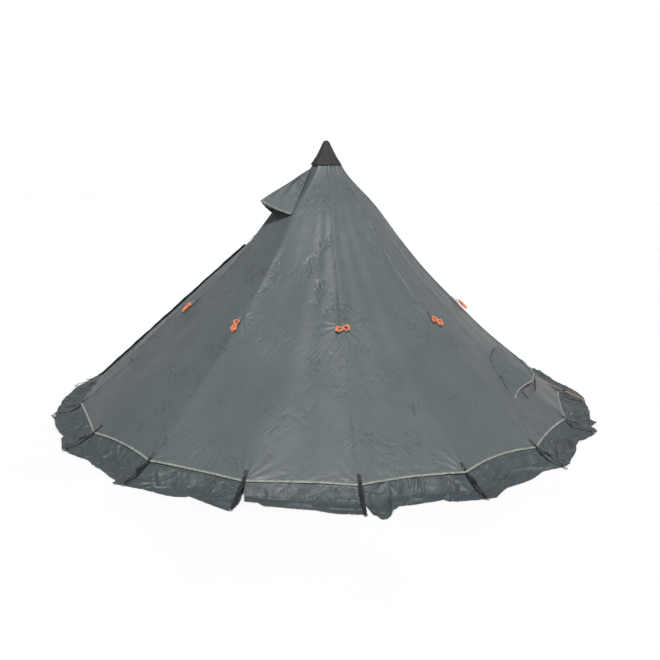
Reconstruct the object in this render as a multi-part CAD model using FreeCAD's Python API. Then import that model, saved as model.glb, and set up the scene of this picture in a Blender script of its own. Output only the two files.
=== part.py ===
"""Nine-panel single-pole teepee tent.

Millimetres, +Z up, origin on the ground under the pole foot. Azimuths are in degrees, 0 at -Y and positive
towards +X. The hem has 18 pegging points: every second one carries a panel seam, and the others lie in the
middle of a panel. Fabric parts are thin closed solids.
"""
import FreeCAD, Part
import math
import os

os.makedirs("parts", exist_ok=True)
V = FreeCAD.Vector

# Driving dimensions
PANELS = 9
PEGS = 2 * PANELS
FIRST_SEAM = -73.7  # azimuth of the seam on the near side of the door
HEM_Z = 100.0  # height of the hem's pegging corners
# Seam line: (height, radius), from the hem up to the cap's edge and in under it
SEAM_LINE = (
    (HEM_Z, 2250.0),
    (388.0, 1895.0),
    (676.0, 1530.0),
    (964.0, 1220.0),
    (1254.0, 925.0),
    (1542.0, 677.0),
    (1830.0, 450.0),
    (2142.0, 150.0),
    (2186.0, 119.0),
)
HEM_R = SEAM_LINE[0][1]
CAP_Z = SEAM_LINE[-2][0]
TIP_Z = 2400.0
FABRIC = 3.0
SEW_GAP = 0.5  # clearance between pieces that are sewn or laid together
CLEAR = 1.0  # clearance to a moving piece
WEBBING = 25.0
WEBBING_T = 2.0
PEG_R = 2497.0  # radius of the peg rings
RING_HOLE_R = 8.0
RING_WIRE = 4.0
CORD_D = 4.0
GUY_Z = 966.0  # height of the guy points on the seams
DOOR_PANEL = PANELS - 1
ZIP_TOP_Z = SEAM_LINE[5][0]
POLE_R = 16.0
TUBE_T = 1.5
UPPER_VENT_PANEL = 0
GROUND_VENT_PANEL = 3
GROUND_VENT_AZ = 70.0

SPAN = 360.0 / PANELS
HALF_SPAN = math.radians(SPAN / 2)


# Helpers

def polar(az, r, z):
    a = math.radians(az)
    return V(r * math.sin(a), -r * math.cos(a), z)


def outward(az):
    return polar(az, 1, 0)


def along_hem(az):
    """Unit tangent towards increasing azimuth."""
    a = math.radians(az)
    return V(math.cos(a), math.sin(a), 0)


def seam_radius(z):
    for (z0, r0), (z1, r1) in zip(SEAM_LINE, SEAM_LINE[1:]):
        if z <= z1:
            return r0 + (r1 - r0) * (z - z0) / (z1 - z0)
    return SEAM_LINE[-1][1]


def crease_radius(z):
    """Radius in the middle of a panel: on the seams' circle at the hem, on their chord at the top."""
    low = 1 - (z - HEM_Z) / (CAP_Z - HEM_Z)
    flat = math.cos(HALF_SPAN)
    return seam_radius(z) * (flat + (1 - flat) * max(low, 0) ** 1.5)


def seam_az(k):
    return FIRST_SEAM + SPAN * k


def solid_of(faces):
    """A closed solid from flat polygons."""
    shell = Part.makeShell([Part.Face(Part.makePolygon(list(f) + [f[0]])) for f in faces])
    shell.sewShape()
    solid = Part.makeSolid(shell)
    if solid.Volume < 0:
        solid.reverse()
    return solid


def sheet(rows, offset):
    """A thin closed solid. rows is a grid of points on the outer face, offset(point) the step to the inner
    face."""
    inner = [[p.add(offset(p)) for p in row] for row in rows]
    faces = []

    def quad(a, b, c, d):
        faces.append((a, b, c))
        faces.append((a, c, d))

    for i in range(len(rows) - 1):
        for j in range(len(rows[0]) - 1):
            quad(rows[i][j], rows[i][j + 1], rows[i + 1][j + 1], rows[i + 1][j])
            quad(inner[i][j], inner[i + 1][j], inner[i + 1][j + 1], inner[i][j + 1])
    rim = [(0, j) for j in range(len(rows[0]))]
    rim += [(i, len(rows[0]) - 1) for i in range(1, len(rows))]
    rim += [(len(rows) - 1, j) for j in range(len(rows[0]) - 2, -1, -1)]
    rim += [(i, 0) for i in range(len(rows) - 2, 0, -1)]
    for (i0, j0), (i1, j1) in zip(rim, rim[1:] + rim[:1]):
        quad(rows[i1][j1], rows[i0][j0], inner[i0][j0], inner[i1][j1])
    return solid_of(faces)


def inward(p):
    """Step from the outer to the inner face of a wall: level, towards the pole."""
    flat = V(p.x, p.y, 0)
    return flat.multiply(-FABRIC / flat.Length)


def rod(a, b, r):
    d = b.sub(a)
    return Part.makeCylinder(r, d.Length, a, d)


def section(points, width):
    """A profile in the (radius, height) plane, made width wide about the plane, at azimuth 90."""
    ring = [V(r, -width / 2, z) for r, z in points]
    return Part.Face(Part.makePolygon(ring + [ring[0]])).extrude(V(0, width, 0))


def at_azimuth(shape, az):
    turned = shape.copy()
    turned.rotate(V(0, 0, 0), V(0, 0, 1), az - 90)
    return turned


def strip(line, width, lift, thickness):
    """A ribbon that follows a (radius, height) line at azimuth 90, lift clear of its outer side."""
    low, high = [], []
    for i, (r, z) in enumerate(line):
        r0, z0 = line[max(i - 1, 0)]
        r1, z1 = line[min(i + 1, len(line) - 1)]
        size = math.hypot(r1 - r0, z1 - z0)
        n_r, n_z = (z1 - z0) / size, -(r1 - r0) / size
        low.append((r + n_r * lift, z + n_z * lift))
        high.append((r + n_r * (lift + thickness), z + n_z * (lift + thickness)))
    return section(low + high[::-1], width)


def save(name, *solids):
    shape = solids[0] if len(solids) == 1 else Part.makeCompound(list(solids))
    bad = [s for s in shape.Solids if not (s.isValid() and s.isClosed() and s.Volume > 0)]
    if bad or not shape.Solids:
        print("check", name, "bad solids:", len(bad), "of", len(shape.Solids))
    shape.exportStep("parts/" + name + ".step")


# Walls

def panel_rows(k, heights):
    az = seam_az(k)
    rows = []
    for z in heights:
        left = polar(az, seam_radius(z), z).add(along_hem(az).multiply(SEW_GAP))
        middle = polar(az + SPAN / 2, crease_radius(z), z)
        right = polar(az + SPAN, seam_radius(z), z).sub(along_hem(az + SPAN).multiply(SEW_GAP))
        rows.append([left, middle, right])
    return rows


HEIGHTS = [z for z, r in SEAM_LINE]


def wall_panel(k):
    return sheet(panel_rows(k, HEIGHTS), inward)


# Upper vent: a peaked hood over a triangular mesh window, propped by a strut

UV_AZ = seam_az(UPPER_VENT_PANEL) + SPAN / 2
UV_TOP_Z = 2100.0
UV_LOW_Z = 1765.0
UV_TIP = polar(UV_AZ, 700.0, 1880.0)
WINDOW_IN = 45.0  # how far the window stays inside the hood's edges


def wall_face_point(k, share, z):
    """A point on the outer face of panel k: share runs from 0 at its first seam to 1 at its second."""
    az = seam_az(k)
    first = polar(az, seam_radius(z), z)
    middle = polar(az + SPAN / 2, crease_radius(z), z)
    last = polar(az + SPAN, seam_radius(z), z)
    if share < 0.5:
        return first.add(middle.sub(first).multiply(2 * share))
    return middle.add(last.sub(middle).multiply(2 * share - 1))


def lifted(p, az, step):
    return p.add(outward(az).multiply(step))


def upper_hood_points():
    top = lifted(polar(UV_AZ, crease_radius(UV_TOP_Z), UV_TOP_Z), UV_AZ, 14)
    near = lifted(wall_face_point(UPPER_VENT_PANEL, 0.96, UV_LOW_Z), UV_AZ, 14)
    far = lifted(wall_face_point(UPPER_VENT_PANEL, 0.04, UV_LOW_Z), UV_AZ, 14)
    return top, near, far


def upper_hood():
    top, near, far = upper_hood_points()
    down = V(0, 0, -FABRIC)
    rows = [[far, UV_TIP, near], [top.sub(along_hem(UV_AZ).multiply(4)), top,
                                  top.add(along_hem(UV_AZ).multiply(4))]]
    return sheet(rows, lambda p: down)


def upper_piping():
    top, near, far = upper_hood_points()
    radius = 4.0
    drop = V(0, 0, -FABRIC - radius - SEW_GAP)
    legs = []
    for end in (near, far):
        away = end.sub(UV_TIP).normalize().multiply(radius * 2)
        legs.append(rod(UV_TIP.add(drop).add(away), end.add(drop).sub(away), radius))
    return legs


def window_prism(centre_az, z_low, z_high, half_low, half_high):
    """A prism through the wall, level and square to centre_az, with a sloping-sided outline."""
    side = along_hem(centre_az)
    reach = 1200.0
    corners = ((-half_low, z_low), (half_low, z_low), (half_high, z_high), (-half_high, z_high))
    base = outward(centre_az).multiply(100)
    points = [base.add(V(side).multiply(s)).add(V(0, 0, z)) for s, z in corners]
    face = Part.Face(Part.makePolygon(points + [points[0]]))
    return face.extrude(outward(centre_az).multiply(reach * 2))


UV_WINDOW = (UV_AZ, UV_LOW_Z + WINDOW_IN, UV_TOP_Z - 2 * WINDOW_IN, 105.0, 20.0)
GV_WINDOW = (GROUND_VENT_AZ, 300.0, 530.0, 330.0, 190.0)


def window_mesh(k, window):
    """The mesh behind a window: the wall's own surface again, stepped inwards, a little larger than the
    window."""
    az, z_low, z_high, half_low, half_high = window
    margin = 12.0
    bigger = window_prism(az, z_low - margin, z_high + margin, half_low + margin, half_high + margin)
    step = FABRIC + 2
    rows = [[p.add(inward(p).multiply(step / FABRIC)) for p in row] for row in panel_rows(k, HEIGHTS)]
    cut = sheet(rows, lambda p: inward(p).multiply(0.5)).common(bigger)
    return cut.Solids[0]


def strut_line():
    """Foot and head of the upper vent's strut."""
    foot = polar(UV_AZ, crease_radius(UV_LOW_Z) + 14, UV_LOW_Z + 8)
    head = UV_TIP.add(outward(UV_AZ).multiply(-30)).add(V(0, 0, -32))
    return foot, head


def strut():
    foot, head = strut_line()
    return rod(foot, head, 4.0)


def strut_pivot():
    """A small clip on the wall that holds the strut's foot, open downwards."""
    foot, head = strut_line()
    side = along_hem(UV_AZ)
    cheeks = []
    for s in (-1, 1):
        base = foot.add(V(side).multiply(s * 8)).add(outward(UV_AZ).multiply(-9))
        cheek = Part.makeCylinder(8, 5, base, V(side).multiply(s))
        cheeks.append(cheek)
    back_centre = foot.add(outward(UV_AZ).multiply(-9)).sub(V(side).multiply(13))
    back = Part.makeCylinder(4, 26, back_centre, side)
    return cheeks[0].fuse(cheeks[1]).fuse(back).removeSplitter()


# Ground vent: an arched hood near the hem, held open by a cord to a peg ring

def ground_hood_rows():
    """Arched hood: its root lies on the wall, its lip is an arch that stands clear of the wall."""
    steps = 8
    root, lip = [], []
    for i in range(steps + 1):
        t = -1 + 2 * i / steps
        arch = 1 - t * t
        az = GROUND_VENT_AZ + 15.5 * t
        z_root = 345 + 255 * (1 - t ** 4)
        share = (az - seam_az(GROUND_VENT_PANEL)) / SPAN
        on_wall = wall_face_point(GROUND_VENT_PANEL, share, z_root)
        root.append(lifted(on_wall, az, 12))
        lip_az = GROUND_VENT_AZ + 15.5 * t
        z_lip = 330 + 60 * arch
        lip_share = (lip_az - seam_az(GROUND_VENT_PANEL)) / SPAN
        foot = wall_face_point(GROUND_VENT_PANEL, lip_share, z_lip)
        lip.append(lifted(foot, GROUND_VENT_AZ, 14 + 100 * arch ** 0.8))
    middle = []
    for a, b in zip(root, lip):
        mid = a.add(b).multiply(0.5)
        swell = 30 * (b.sub(a).Length / 320.0)
        middle.append(mid.add(outward(GROUND_VENT_AZ).multiply(swell)))
    return root, middle, lip


def ground_hood():
    root, middle, lip = ground_hood_rows()
    down = V(0, 0, -FABRIC)
    return sheet([lip, middle, root], lambda p: down)


def ground_piping():
    root, middle, lip = ground_hood_rows()
    radius = 6.0
    drop = outward(GROUND_VENT_AZ).multiply(radius + SEW_GAP).add(V(0, 0, -FABRIC / 2))
    pieces = []
    for a, b in zip(lip, lip[1:]):
        shrink = b.sub(a).normalize().multiply(SEW_GAP)
        pieces.append(rod(a.add(drop).add(shrink), b.add(drop).sub(shrink), radius))
    return pieces


def peg_ring_az(k):
    return seam_az(0) + SPAN / 2 * k


VENT_PEG_AZ = peg_ring_az(8)
VENT_CORD_BEND = 9.0  # half the gap between the cord's two runs, as wide as the peg ring leaves it
VENT_CORD_RETURN = 0.48  # the return run, as a share of the way from the hood to the peg


def vent_cord_ends():
    lip = ground_hood_rows()[2]
    peak = lip[len(lip) // 2].add(outward(GROUND_VENT_AZ).multiply(18))
    ring = polar(VENT_PEG_AZ, PEG_R + 2 * RING_HOLE_R, 20.0)
    return peak, ring


def vent_cord():
    """A doubled cord: out from the hood's lip to the peg, round it and back to the runner."""
    peak, ring = vent_cord_ends()
    line = ring.sub(peak)
    length = line.Length
    ahead = V(line).normalize()
    side = ahead.cross(V(0, 0, 1)).normalize()
    bend = VENT_CORD_BEND
    turn = peak.add(V(ahead).multiply(length - bend))
    a0 = peak
    a1 = V(turn)
    top = turn.add(V(side).multiply(bend)).add(V(ahead).multiply(bend))
    b1 = turn.add(V(side).multiply(2 * bend))
    b0 = b1.sub(V(ahead).multiply(length * VENT_CORD_RETURN))
    path = Part.Wire([
        Part.makeLine(a0, a1),
        Part.Arc(a1, top, b1).toShape(),
        Part.makeLine(b1, b0),
    ])
    disc = Part.Wire(Part.makeCircle(CORD_D / 2, a0, ahead))
    tube = path.makePipeShell([disc], True, True)
    print("vent cord: bend radius", bend, "length", round(path.Length, 1),
          "volume ratio", round(tube.Volume / (math.pi * CORD_D ** 2 / 4 * path.Length), 4))
    return tube, b0, ahead, side


def vent_runner(end, ahead, side):
    """Cord runner: a small plate with a slot for each run of the cord."""
    bend = VENT_CORD_BEND
    centre = end.add(V(ahead).multiply(6)).sub(V(side).multiply(bend))
    long_side, high, thick = 38.0, 14.0, 9.0
    up = side.cross(ahead).normalize()
    corner = centre.sub(V(side).multiply(long_side / 2)).sub(V(up).multiply(high / 2))
    corner = corner.sub(V(ahead).multiply(thick / 2))
    body = block(corner, (side, long_side), (up, high), (ahead, thick))
    for s in (-1, 1):
        hole_at = centre.add(V(side).multiply(s * bend)).sub(V(ahead).multiply(thick))
        body = body.cut(Part.makeCylinder(CORD_D / 2 + 0.4, 2 * thick, hole_at, ahead))
    return body


def block(corner, *edges):
    """A box from one corner and three (direction, length) edges at right angles."""
    a, b, c = [V(d).multiply(size) for d, size in edges]
    base = [corner, corner.add(a), corner.add(a).add(b), corner.add(b)]
    return Part.Face(Part.makePolygon(base + [base[0]])).extrude(c)


# Door

DOOR_AZ = seam_az(DOOR_PANEL) + SPAN / 2
DOOR_SIDE = 120.0  # width at the hem of the fixed strip beside the door
HINGE_TOP = 40.0  # half the door's width at the zip's top
ZIP_TOP = polar(DOOR_AZ, crease_radius(ZIP_TOP_Z), ZIP_TOP_Z)
ZIP_FOOT = polar(DOOR_AZ, crease_radius(HEM_Z), HEM_Z)
ZIP_DOWN = ZIP_FOOT.sub(ZIP_TOP).normalize()
ZIP_LENGTH = ZIP_FOOT.sub(ZIP_TOP).Length
ZIP_HALF = 14.0


def door_side_sign(side):
    """+1 for the flap nearer the first seam, -1 for the far one."""
    return 1 if side == "near" else -1


def hinge_ends(side):
    """Top and foot of a door flap's hinge line, in the flat plane of that flap."""
    corner_az = DOOR_AZ + door_side_sign(side) * SPAN / 2
    corner = polar(corner_az, HEM_R, HEM_Z)
    along = corner.sub(ZIP_FOOT)
    width = along.Length
    along.normalize()
    foot = ZIP_FOOT.add(V(along).multiply(width - DOOR_SIDE))
    top = ZIP_TOP.add(V(along).multiply(HINGE_TOP))
    return top, foot, along


def flap_normal(side):
    top, foot, along = hinge_ends(side)
    normal = ZIP_DOWN.cross(along).normalize()
    return normal if normal.dot(outward(DOOR_AZ)) > 0 else normal.multiply(-1)


def in_flap(side, down, across, lift=0.0):
    """A point of a flap's plane: down the zip from its top, across from the zip, lift outwards."""
    along = hinge_ends(side)[2]
    point = ZIP_TOP.add(V(ZIP_DOWN).multiply(down)).add(V(along).multiply(across))
    return point.add(flap_normal(side).multiply(lift))


def hinge_across(side, down):
    """Distance from the zip to the hinge line."""
    top, foot, along = hinge_ends(side)
    low = foot.sub(ZIP_FOOT).Length
    return HINGE_TOP + (low - HINGE_TOP) * down / ZIP_LENGTH


FLAP_TOP = 100.0  # how far below the zip's top the flaps begin
FLAP_FOOT = 6.0  # how far above the hem they end


def door_flap(side):
    points = [
        in_flap(side, FLAP_TOP, CLEAR),
        in_flap(side, ZIP_LENGTH - FLAP_FOOT, CLEAR),
        in_flap(side, ZIP_LENGTH - FLAP_FOOT, hinge_across(side, ZIP_LENGTH - FLAP_FOOT)),
        in_flap(side, FLAP_TOP, hinge_across(side, FLAP_TOP)),
    ]
    flap = Part.Face(Part.makePolygon(points + [points[0]]))
    return flap.extrude(flap_normal(side).multiply(-FABRIC))


def flap_strip(side, start, stop, across, width, lift, thickness):
    """A strip along the zip on a flap's outer side."""
    points = [
        in_flap(side, start, across, lift),
        in_flap(side, stop, across, lift),
        in_flap(side, stop, across + width, lift),
        in_flap(side, start, across + width, lift),
    ]
    face = Part.Face(Part.makePolygon(points + [points[0]]))
    return face.extrude(flap_normal(side).multiply(thickness))


def zip_half(side):
    tape = flap_strip(side, FLAP_TOP + 4, ZIP_LENGTH - 12, CLEAR, ZIP_HALF, 0.2, 1.3)
    teeth = flap_strip(side, FLAP_TOP + 4, ZIP_LENGTH - 12, CLEAR, 3.0, 1.4, 1.6)
    return tape.fuse(teeth).removeSplitter()


def storm_flap():
    start, stop = FLAP_TOP + 60, ZIP_LENGTH - 14
    leg = flap_strip("far", start, stop, 42, 3, 0.3, 21)
    cover = flap_strip("far", start, stop, 2.5, 42.5, 18.3, 3)
    return leg.fuse(cover).removeSplitter()


def door_side(side):
    """The fixed strip of wall between a flap's hinge line and the seam."""
    sign = door_side_sign(side)
    corner_az = DOOR_AZ + sign * SPAN / 2
    top, foot, along = hinge_ends(side)
    rows = []
    for z in [h for h in HEIGHTS if h <= ZIP_TOP_Z]:
        seam = polar(corner_az, seam_radius(z), z).sub(along_hem(corner_az).multiply(sign * SEW_GAP))
        share = (z - foot.z) / (top.z - foot.z)
        hinge = foot.add(top.sub(foot).multiply(share)).add(V(along).multiply(CLEAR))
        rows.append([hinge, seam] if sign > 0 else [seam, hinge])
    return sheet(rows, inward)


def door_upper():
    return sheet(panel_rows(DOOR_PANEL, [z for z in HEIGHTS if z >= ZIP_TOP_Z]), inward)


def door_gusset(side):
    """Fixed piece between the zip's top and a flap's top edge."""
    top, low = 4.0, FLAP_TOP - CLEAR
    points = [
        in_flap(side, top, SEW_GAP),
        in_flap(side, low, SEW_GAP),
        in_flap(side, low, hinge_across(side, low)),
        in_flap(side, top, hinge_across(side, top)),
    ]
    face = Part.Face(Part.makePolygon(points + [points[0]]))
    return face.extrude(flap_normal(side).multiply(-FABRIC))


TIE_Z = 478.0  # height of the tie-back toggles on the seams beside the door


def tieback_toggle(sign):
    az = DOOR_AZ + sign * SPAN / 2
    centre = polar(az, seam_radius(TIE_Z) + 18, TIE_Z)
    tab_from = polar(az, seam_radius(TIE_Z) + 11, TIE_Z)
    side = along_hem(az)
    bar = Part.makeCylinder(4.5, 44, centre.sub(V(side).multiply(22)), side)
    return bar.fuse(rod(tab_from, centre, 3.0)).removeSplitter()


def flap_loop(side):
    """Elastic loop on a flap's outer side, for the toggle on the seam beside it."""
    down = ZIP_LENGTH * 0.72
    centre = in_flap(side, down, hinge_across(side, down) - 60, 17)
    axis = V(ZIP_DOWN)
    return Part.makeTorus(14, 1.8, centre, axis)


SLIDER_LIFT = 5.5
SLIDER_UP = 60.0  # the slider's foot stands this far above the flaps' top
PULLER_DOWN = FLAP_TOP - SLIDER_UP - 14.0  # the puller's pin, down the zip and off it
PULLER_LIFT = SLIDER_LIFT + 6.2


def zip_normal():
    side = along_hem(DOOR_AZ)
    normal = ZIP_DOWN.cross(side).normalize()
    return normal if normal.dot(outward(DOOR_AZ)) > 0 else normal.multiply(-1)


def on_zip(down, lift, across=0.0):
    return (ZIP_TOP.add(V(ZIP_DOWN).multiply(down)).add(zip_normal().multiply(lift))
            .add(along_hem(DOOR_AZ).multiply(across)))


def zip_slider():
    length, width, height = 26.0, 15.0, 4.0
    down = FLAP_TOP - SLIDER_UP - length
    body = block(on_zip(down, SLIDER_LIFT, -width / 2), (along_hem(DOOR_AZ), width),
                 (ZIP_DOWN, length), (zip_normal(), height))
    bridge = block(on_zip(down + 5, SLIDER_LIFT + height - 0.5, -2), (along_hem(DOOR_AZ), 4.0),
                   (ZIP_DOWN, length - 10), (zip_normal(), 5.5))
    hole = Part.makeCylinder(1.6, 10, on_zip(PULLER_DOWN, PULLER_LIFT, -5), along_hem(DOOR_AZ))
    return body.fuse(bridge).cut(hole).removeSplitter()


def zip_puller():
    """A cord puller: a pin through the slider's bridge, two legs and a grip."""
    pin = Part.makeCylinder(1.2, 11, on_zip(PULLER_DOWN, PULLER_LIFT, -5.5), along_hem(DOOR_AZ))
    legs = [block(on_zip(PULLER_DOWN - 1, PULLER_LIFT - 1, s * 4 - 1), (along_hem(DOOR_AZ), 2.0),
                  (ZIP_DOWN, 31.0), (zip_normal(), 2.0)) for s in (-1, 1)]
    grip = block(on_zip(PULLER_DOWN + 28, PULLER_LIFT - 2, -5.5), (along_hem(DOOR_AZ), 11.0),
                 (ZIP_DOWN, 38.0), (zip_normal(), 4.5))
    return pin.fuse(legs[0]).fuse(legs[1]).fuse(grip).removeSplitter()


def sill_strap():
    """Webbing that joins the hem corners under the door."""
    pieces = []
    for k in (0, 1):
        az = seam_az(DOOR_PANEL) + SPAN / 2 * k
        pieces.append(hem_piece(az, 12.0, 4.0))
    return pieces


# Hem, skirt and pegging points

HEM_DROP = 17.0


def hem_piece(az, height, thick):
    """A straight strip under the hem, from one pegging corner to the next."""
    step = SPAN / 2
    trim = WEBBING / 2 + 1
    z = HEM_Z - CLEAR
    outer, inner = [], []
    for a, sign in ((az, 1), (az + step, -1)):
        shift = along_hem(az + step / 2).multiply(sign * trim)
        outer.append(polar(a, HEM_R, z).add(shift))
        inner.append(polar(a, HEM_R - thick, z).add(shift))
    base = [outer[0], outer[1], inner[1], inner[0]]
    return Part.Face(Part.makePolygon(base + [base[0]])).extrude(V(0, 0, -height))


def hem_binding():
    door = (2 * DOOR_PANEL, 2 * DOOR_PANEL + 1)
    return [hem_piece(peg_ring_az(k), HEM_DROP, 5.0) for k in range(PEGS) if k not in door]


SKIRT_LINE = ((HEM_R - 8, HEM_Z - HEM_DROP - 2), (HEM_R + 150, 12.0), (HEM_R + 292, FABRIC))
SLIT = 24.0  # half the slit in the skirt at each pegging strap


def skirt_section(k):
    az = peg_ring_az(k)
    step = SPAN / 2
    shift = along_hem(az + step / 2).multiply(SLIT)
    rows = []
    for r, z in SKIRT_LINE[::-1]:
        rows.append([polar(az, r, z).add(shift), polar(az + step, r, z).sub(shift)])
    return sheet(rows, lambda p: V(0, 0, -FABRIC))


def wall_slope():
    (z0, r0), (z1, r1) = SEAM_LINE[:2]
    size = math.hypot(r1 - r0, z1 - z0)
    return (r1 - r0) / size, (z1 - z0) / size


STRAP_LEN = math.hypot(PEG_R - HEM_R, HEM_Z - 14.0)


def down_strap(s, lift=0.0):
    """(radius, height) at distance s along the pegging strap's line, which falls from the hem corner."""
    d_r, d_z = (PEG_R - HEM_R) / STRAP_LEN, -(HEM_Z - 14.0) / STRAP_LEN
    return HEM_R + 4 + d_r * s - d_z * lift, HEM_Z + d_z * s + d_r * lift


BUCKLE_AT = 46.0
BUCKLE_LEN = 34.0
STRAP_SHORT = 5.0  # keeps the strap's end clear of the peg that goes down through the ring


def corner_webbing(on_wall):
    """Webbing sewn up the wall from the hem corner, and its tail down to the buckle's upper bar."""
    u_r, u_z = wall_slope()
    wall = [(HEM_R + 70 * u_r, HEM_Z + 70 * u_z), (HEM_R + 4 * u_r, HEM_Z + 4 * u_z)]
    up_wall = strip(wall[::-1], WEBBING, 2.5, WEBBING_T)
    tail = section([down_strap(4, 1.0), down_strap(BUCKLE_AT - 1, 1.0),
                    down_strap(BUCKLE_AT - 1, 3.0), down_strap(4, 3.0)], WEBBING)
    return [up_wall, tail] if on_wall else [tail]


def ladder_lock():
    """A ladder-lock buckle: a frame with two slots and a lifted lip."""
    start, stop = BUCKLE_AT, BUCKLE_AT + BUCKLE_LEN
    body = section([down_strap(start), down_strap(stop), down_strap(stop, 9), down_strap(stop - 6, 9),
                    down_strap(stop - 8, 5), down_strap(start, 5)], WEBBING + 9)
    for low, high in ((4, 11), (17, 24)):
        slot = section([down_strap(start + low, -3), down_strap(start + high, -3),
                        down_strap(start + high, 12), down_strap(start + low, 12)], WEBBING + 1.5)
        body = body.cut(slot)
    return body


def peg_strap():
    """The adjustable strap, from the buckle's lower bar to the peg ring."""
    start = BUCKLE_AT + BUCKLE_LEN + 1
    stop = STRAP_LEN - RING_HOLE_R - RING_WIRE - STRAP_SHORT
    return section([down_strap(start, 0.5), down_strap(stop, 0.5),
                    down_strap(stop, 0.5 + WEBBING_T), down_strap(start, 0.5 + WEBBING_T)], WEBBING - 3)


def peg_ring():
    """An upright-bored ring at the strap's end, for the peg."""
    base = V(PEG_R, 0, 6.0)
    ring = Part.makeCylinder(RING_HOLE_R + RING_WIRE, 5.0, base, V(0, 0, 1))
    return ring.cut(Part.makeCylinder(RING_HOLE_R, 15.0, base.sub(V(0, 0, 5)), V(0, 0, 1)))


# Seams and guy points

def seam_tape():
    line = [(r, z) for z, r in SEAM_LINE[:-1]]
    line[0] = (HEM_R + 95 * wall_slope()[0], HEM_Z + 95 * wall_slope()[1])
    line[-1] = (seam_radius(CAP_Z - 20), CAP_Z - 20)
    return strip(line, 16.0, 3.0, 1.5)


GUY_R = seam_radius(GUY_Z)
LOOP_R = 9.0
LOOP_OUT = 17.0  # loop centre beyond the seam


def guy_loop():
    """Reinforcement patch on the seam with a standing cord loop."""
    half = 32.0
    line = [(seam_radius(z), z) for z in (GUY_Z - half, GUY_Z + half)]
    patch = strip(line, 30.0, 5.0, 2.5)
    loop = Part.makeTorus(LOOP_R, 2.5, V(GUY_R + LOOP_OUT, 0, GUY_Z + 6), V(0, 1, 0))
    return patch.fuse(loop).Solids[0]


HANK_W, HANK_D, HANK_L = 46.0, 30.0, 112.0
HANK_OFF = 25.0  # the hank's middle off the wall
LEAD_DOWN = 26.0  # a hank's highest point, down the wall from its guy point
# Each hank's turn on the wall, in degrees from straight down towards higher azimuths, from the first seam on
HANK_TURNS = (-4.0, 8.0, -80.0, 50.0, 3.0, -62.0, 12.0, 84.0, -18.0)


def guy_frame():
    """Directions down the wall and out of it at the guy point, at azimuth 90."""
    (z0, r0), (z1, r1) = SEAM_LINE[2:4]
    size = math.hypot(r1 - r0, z1 - z0)
    down = V((r0 - r1) / size, 0, (z0 - z1) / size)
    return down, V(-down.z, 0, down.x)


def hank_point(along, off):
    down, out = guy_frame()
    return V(GUY_R, 0, GUY_Z).add(V(down).multiply(along)).add(V(out).multiply(off))


def hank_middle(turn):
    """How far down the wall from its guy point a hank's middle lies."""
    t = math.radians(turn)
    return LEAD_DOWN + math.hypot(HANK_L / 2 * math.cos(t), HANK_W / 2 * math.sin(t))


def hank_half(turn):
    """Half the hank's size straight down the wall through its middle."""
    t = math.radians(turn)
    return 1 / math.hypot(math.cos(t) / (HANK_L / 2), math.sin(t) / (HANK_W / 2))


def hank(turn):
    """A hanked guyline that rests against the wall under its loop."""
    body = Part.makeSphere(1.0)
    stretch = FreeCAD.Matrix()
    stretch.scale(HANK_D / 2, HANK_W / 2, HANK_L / 2)
    body = body.transformGeometry(stretch)
    body.rotate(V(0, 0, 0), V(1, 0, 0), turn)
    down = guy_frame()[0]
    tilt = math.degrees(math.atan2(down.x, -down.z))
    body.rotate(V(0, 0, 0), V(0, 1, 0), -tilt)
    body.translate(hank_point(hank_middle(turn), HANK_OFF))
    return body


def guy_lead(turn):
    """The short run of cord from the loop to the hank."""
    loop_out = V(GUY_R + LOOP_OUT + LOOP_R + 2.5 + CORD_D / 2, 0, GUY_Z + 4)
    hank_in = hank_point(hank_middle(turn) - hank_half(turn) + 2, HANK_OFF)
    return rod(loop_out, hank_in, CORD_D / 2)


# Peak and pole

CAP_EDGE_R = 140.0
CAP_EDGE_Z = 2176.0
CAP_T = 2.5


def cone_stack(shrink):
    """The cap's outline as a closed body, shrink smaller all round."""
    waist_r, waist_z = 92.0 - shrink, 2250.0
    neck_r, neck_z = 31.0 - shrink, 2366.0
    edge_z = CAP_EDGE_Z - (5 if shrink else 0)
    skirt = Part.makeCone(CAP_EDGE_R + CAP_T - shrink, waist_r, waist_z - edge_z, V(0, 0, edge_z))
    flank = Part.makeCone(waist_r, neck_r, neck_z - waist_z, V(0, 0, waist_z))
    tip = Part.makeSphere(neck_r, V(0, 0, neck_z))
    return skirt.fuse(flank).fuse(tip)


def top_cap():
    """The cap: a slightly hollow-flanked cone with a round tip, open below."""
    return cone_stack(0.0).cut(cone_stack(CAP_T))


def tube(r_out, r_in, z0, z1):
    outer = Part.makeCylinder(r_out, z1 - z0, V(0, 0, z0))
    return outer.cut(Part.makeCylinder(r_in, z1 - z0 + 2, V(0, 0, z0 - 1)))


LOWER_TOP_Z = 950.0
MIDDLE_Z = (700.0, 1580.0)
PLUG_Z = 2320.0  # top of the upper tube, under the plug's head
RUN_FIT = 0.3
SLIM_R = POLE_R - TUBE_T - RUN_FIT  # the sliding lower tube's radius
COLLAR_R = POLE_R + 5
COLLAR_H = 30.0
LEVER_PIN = (-8.0, -COLLAR_R - 7.0)  # (x, y) of the lever's upright pin
PIN_R = 2.5


def pole_lower():
    return tube(SLIM_R, SLIM_R - TUBE_T, 24.0, LOWER_TOP_Z)


def pole_middle():
    return tube(POLE_R, POLE_R - TUBE_T, *MIDDLE_Z)


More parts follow.
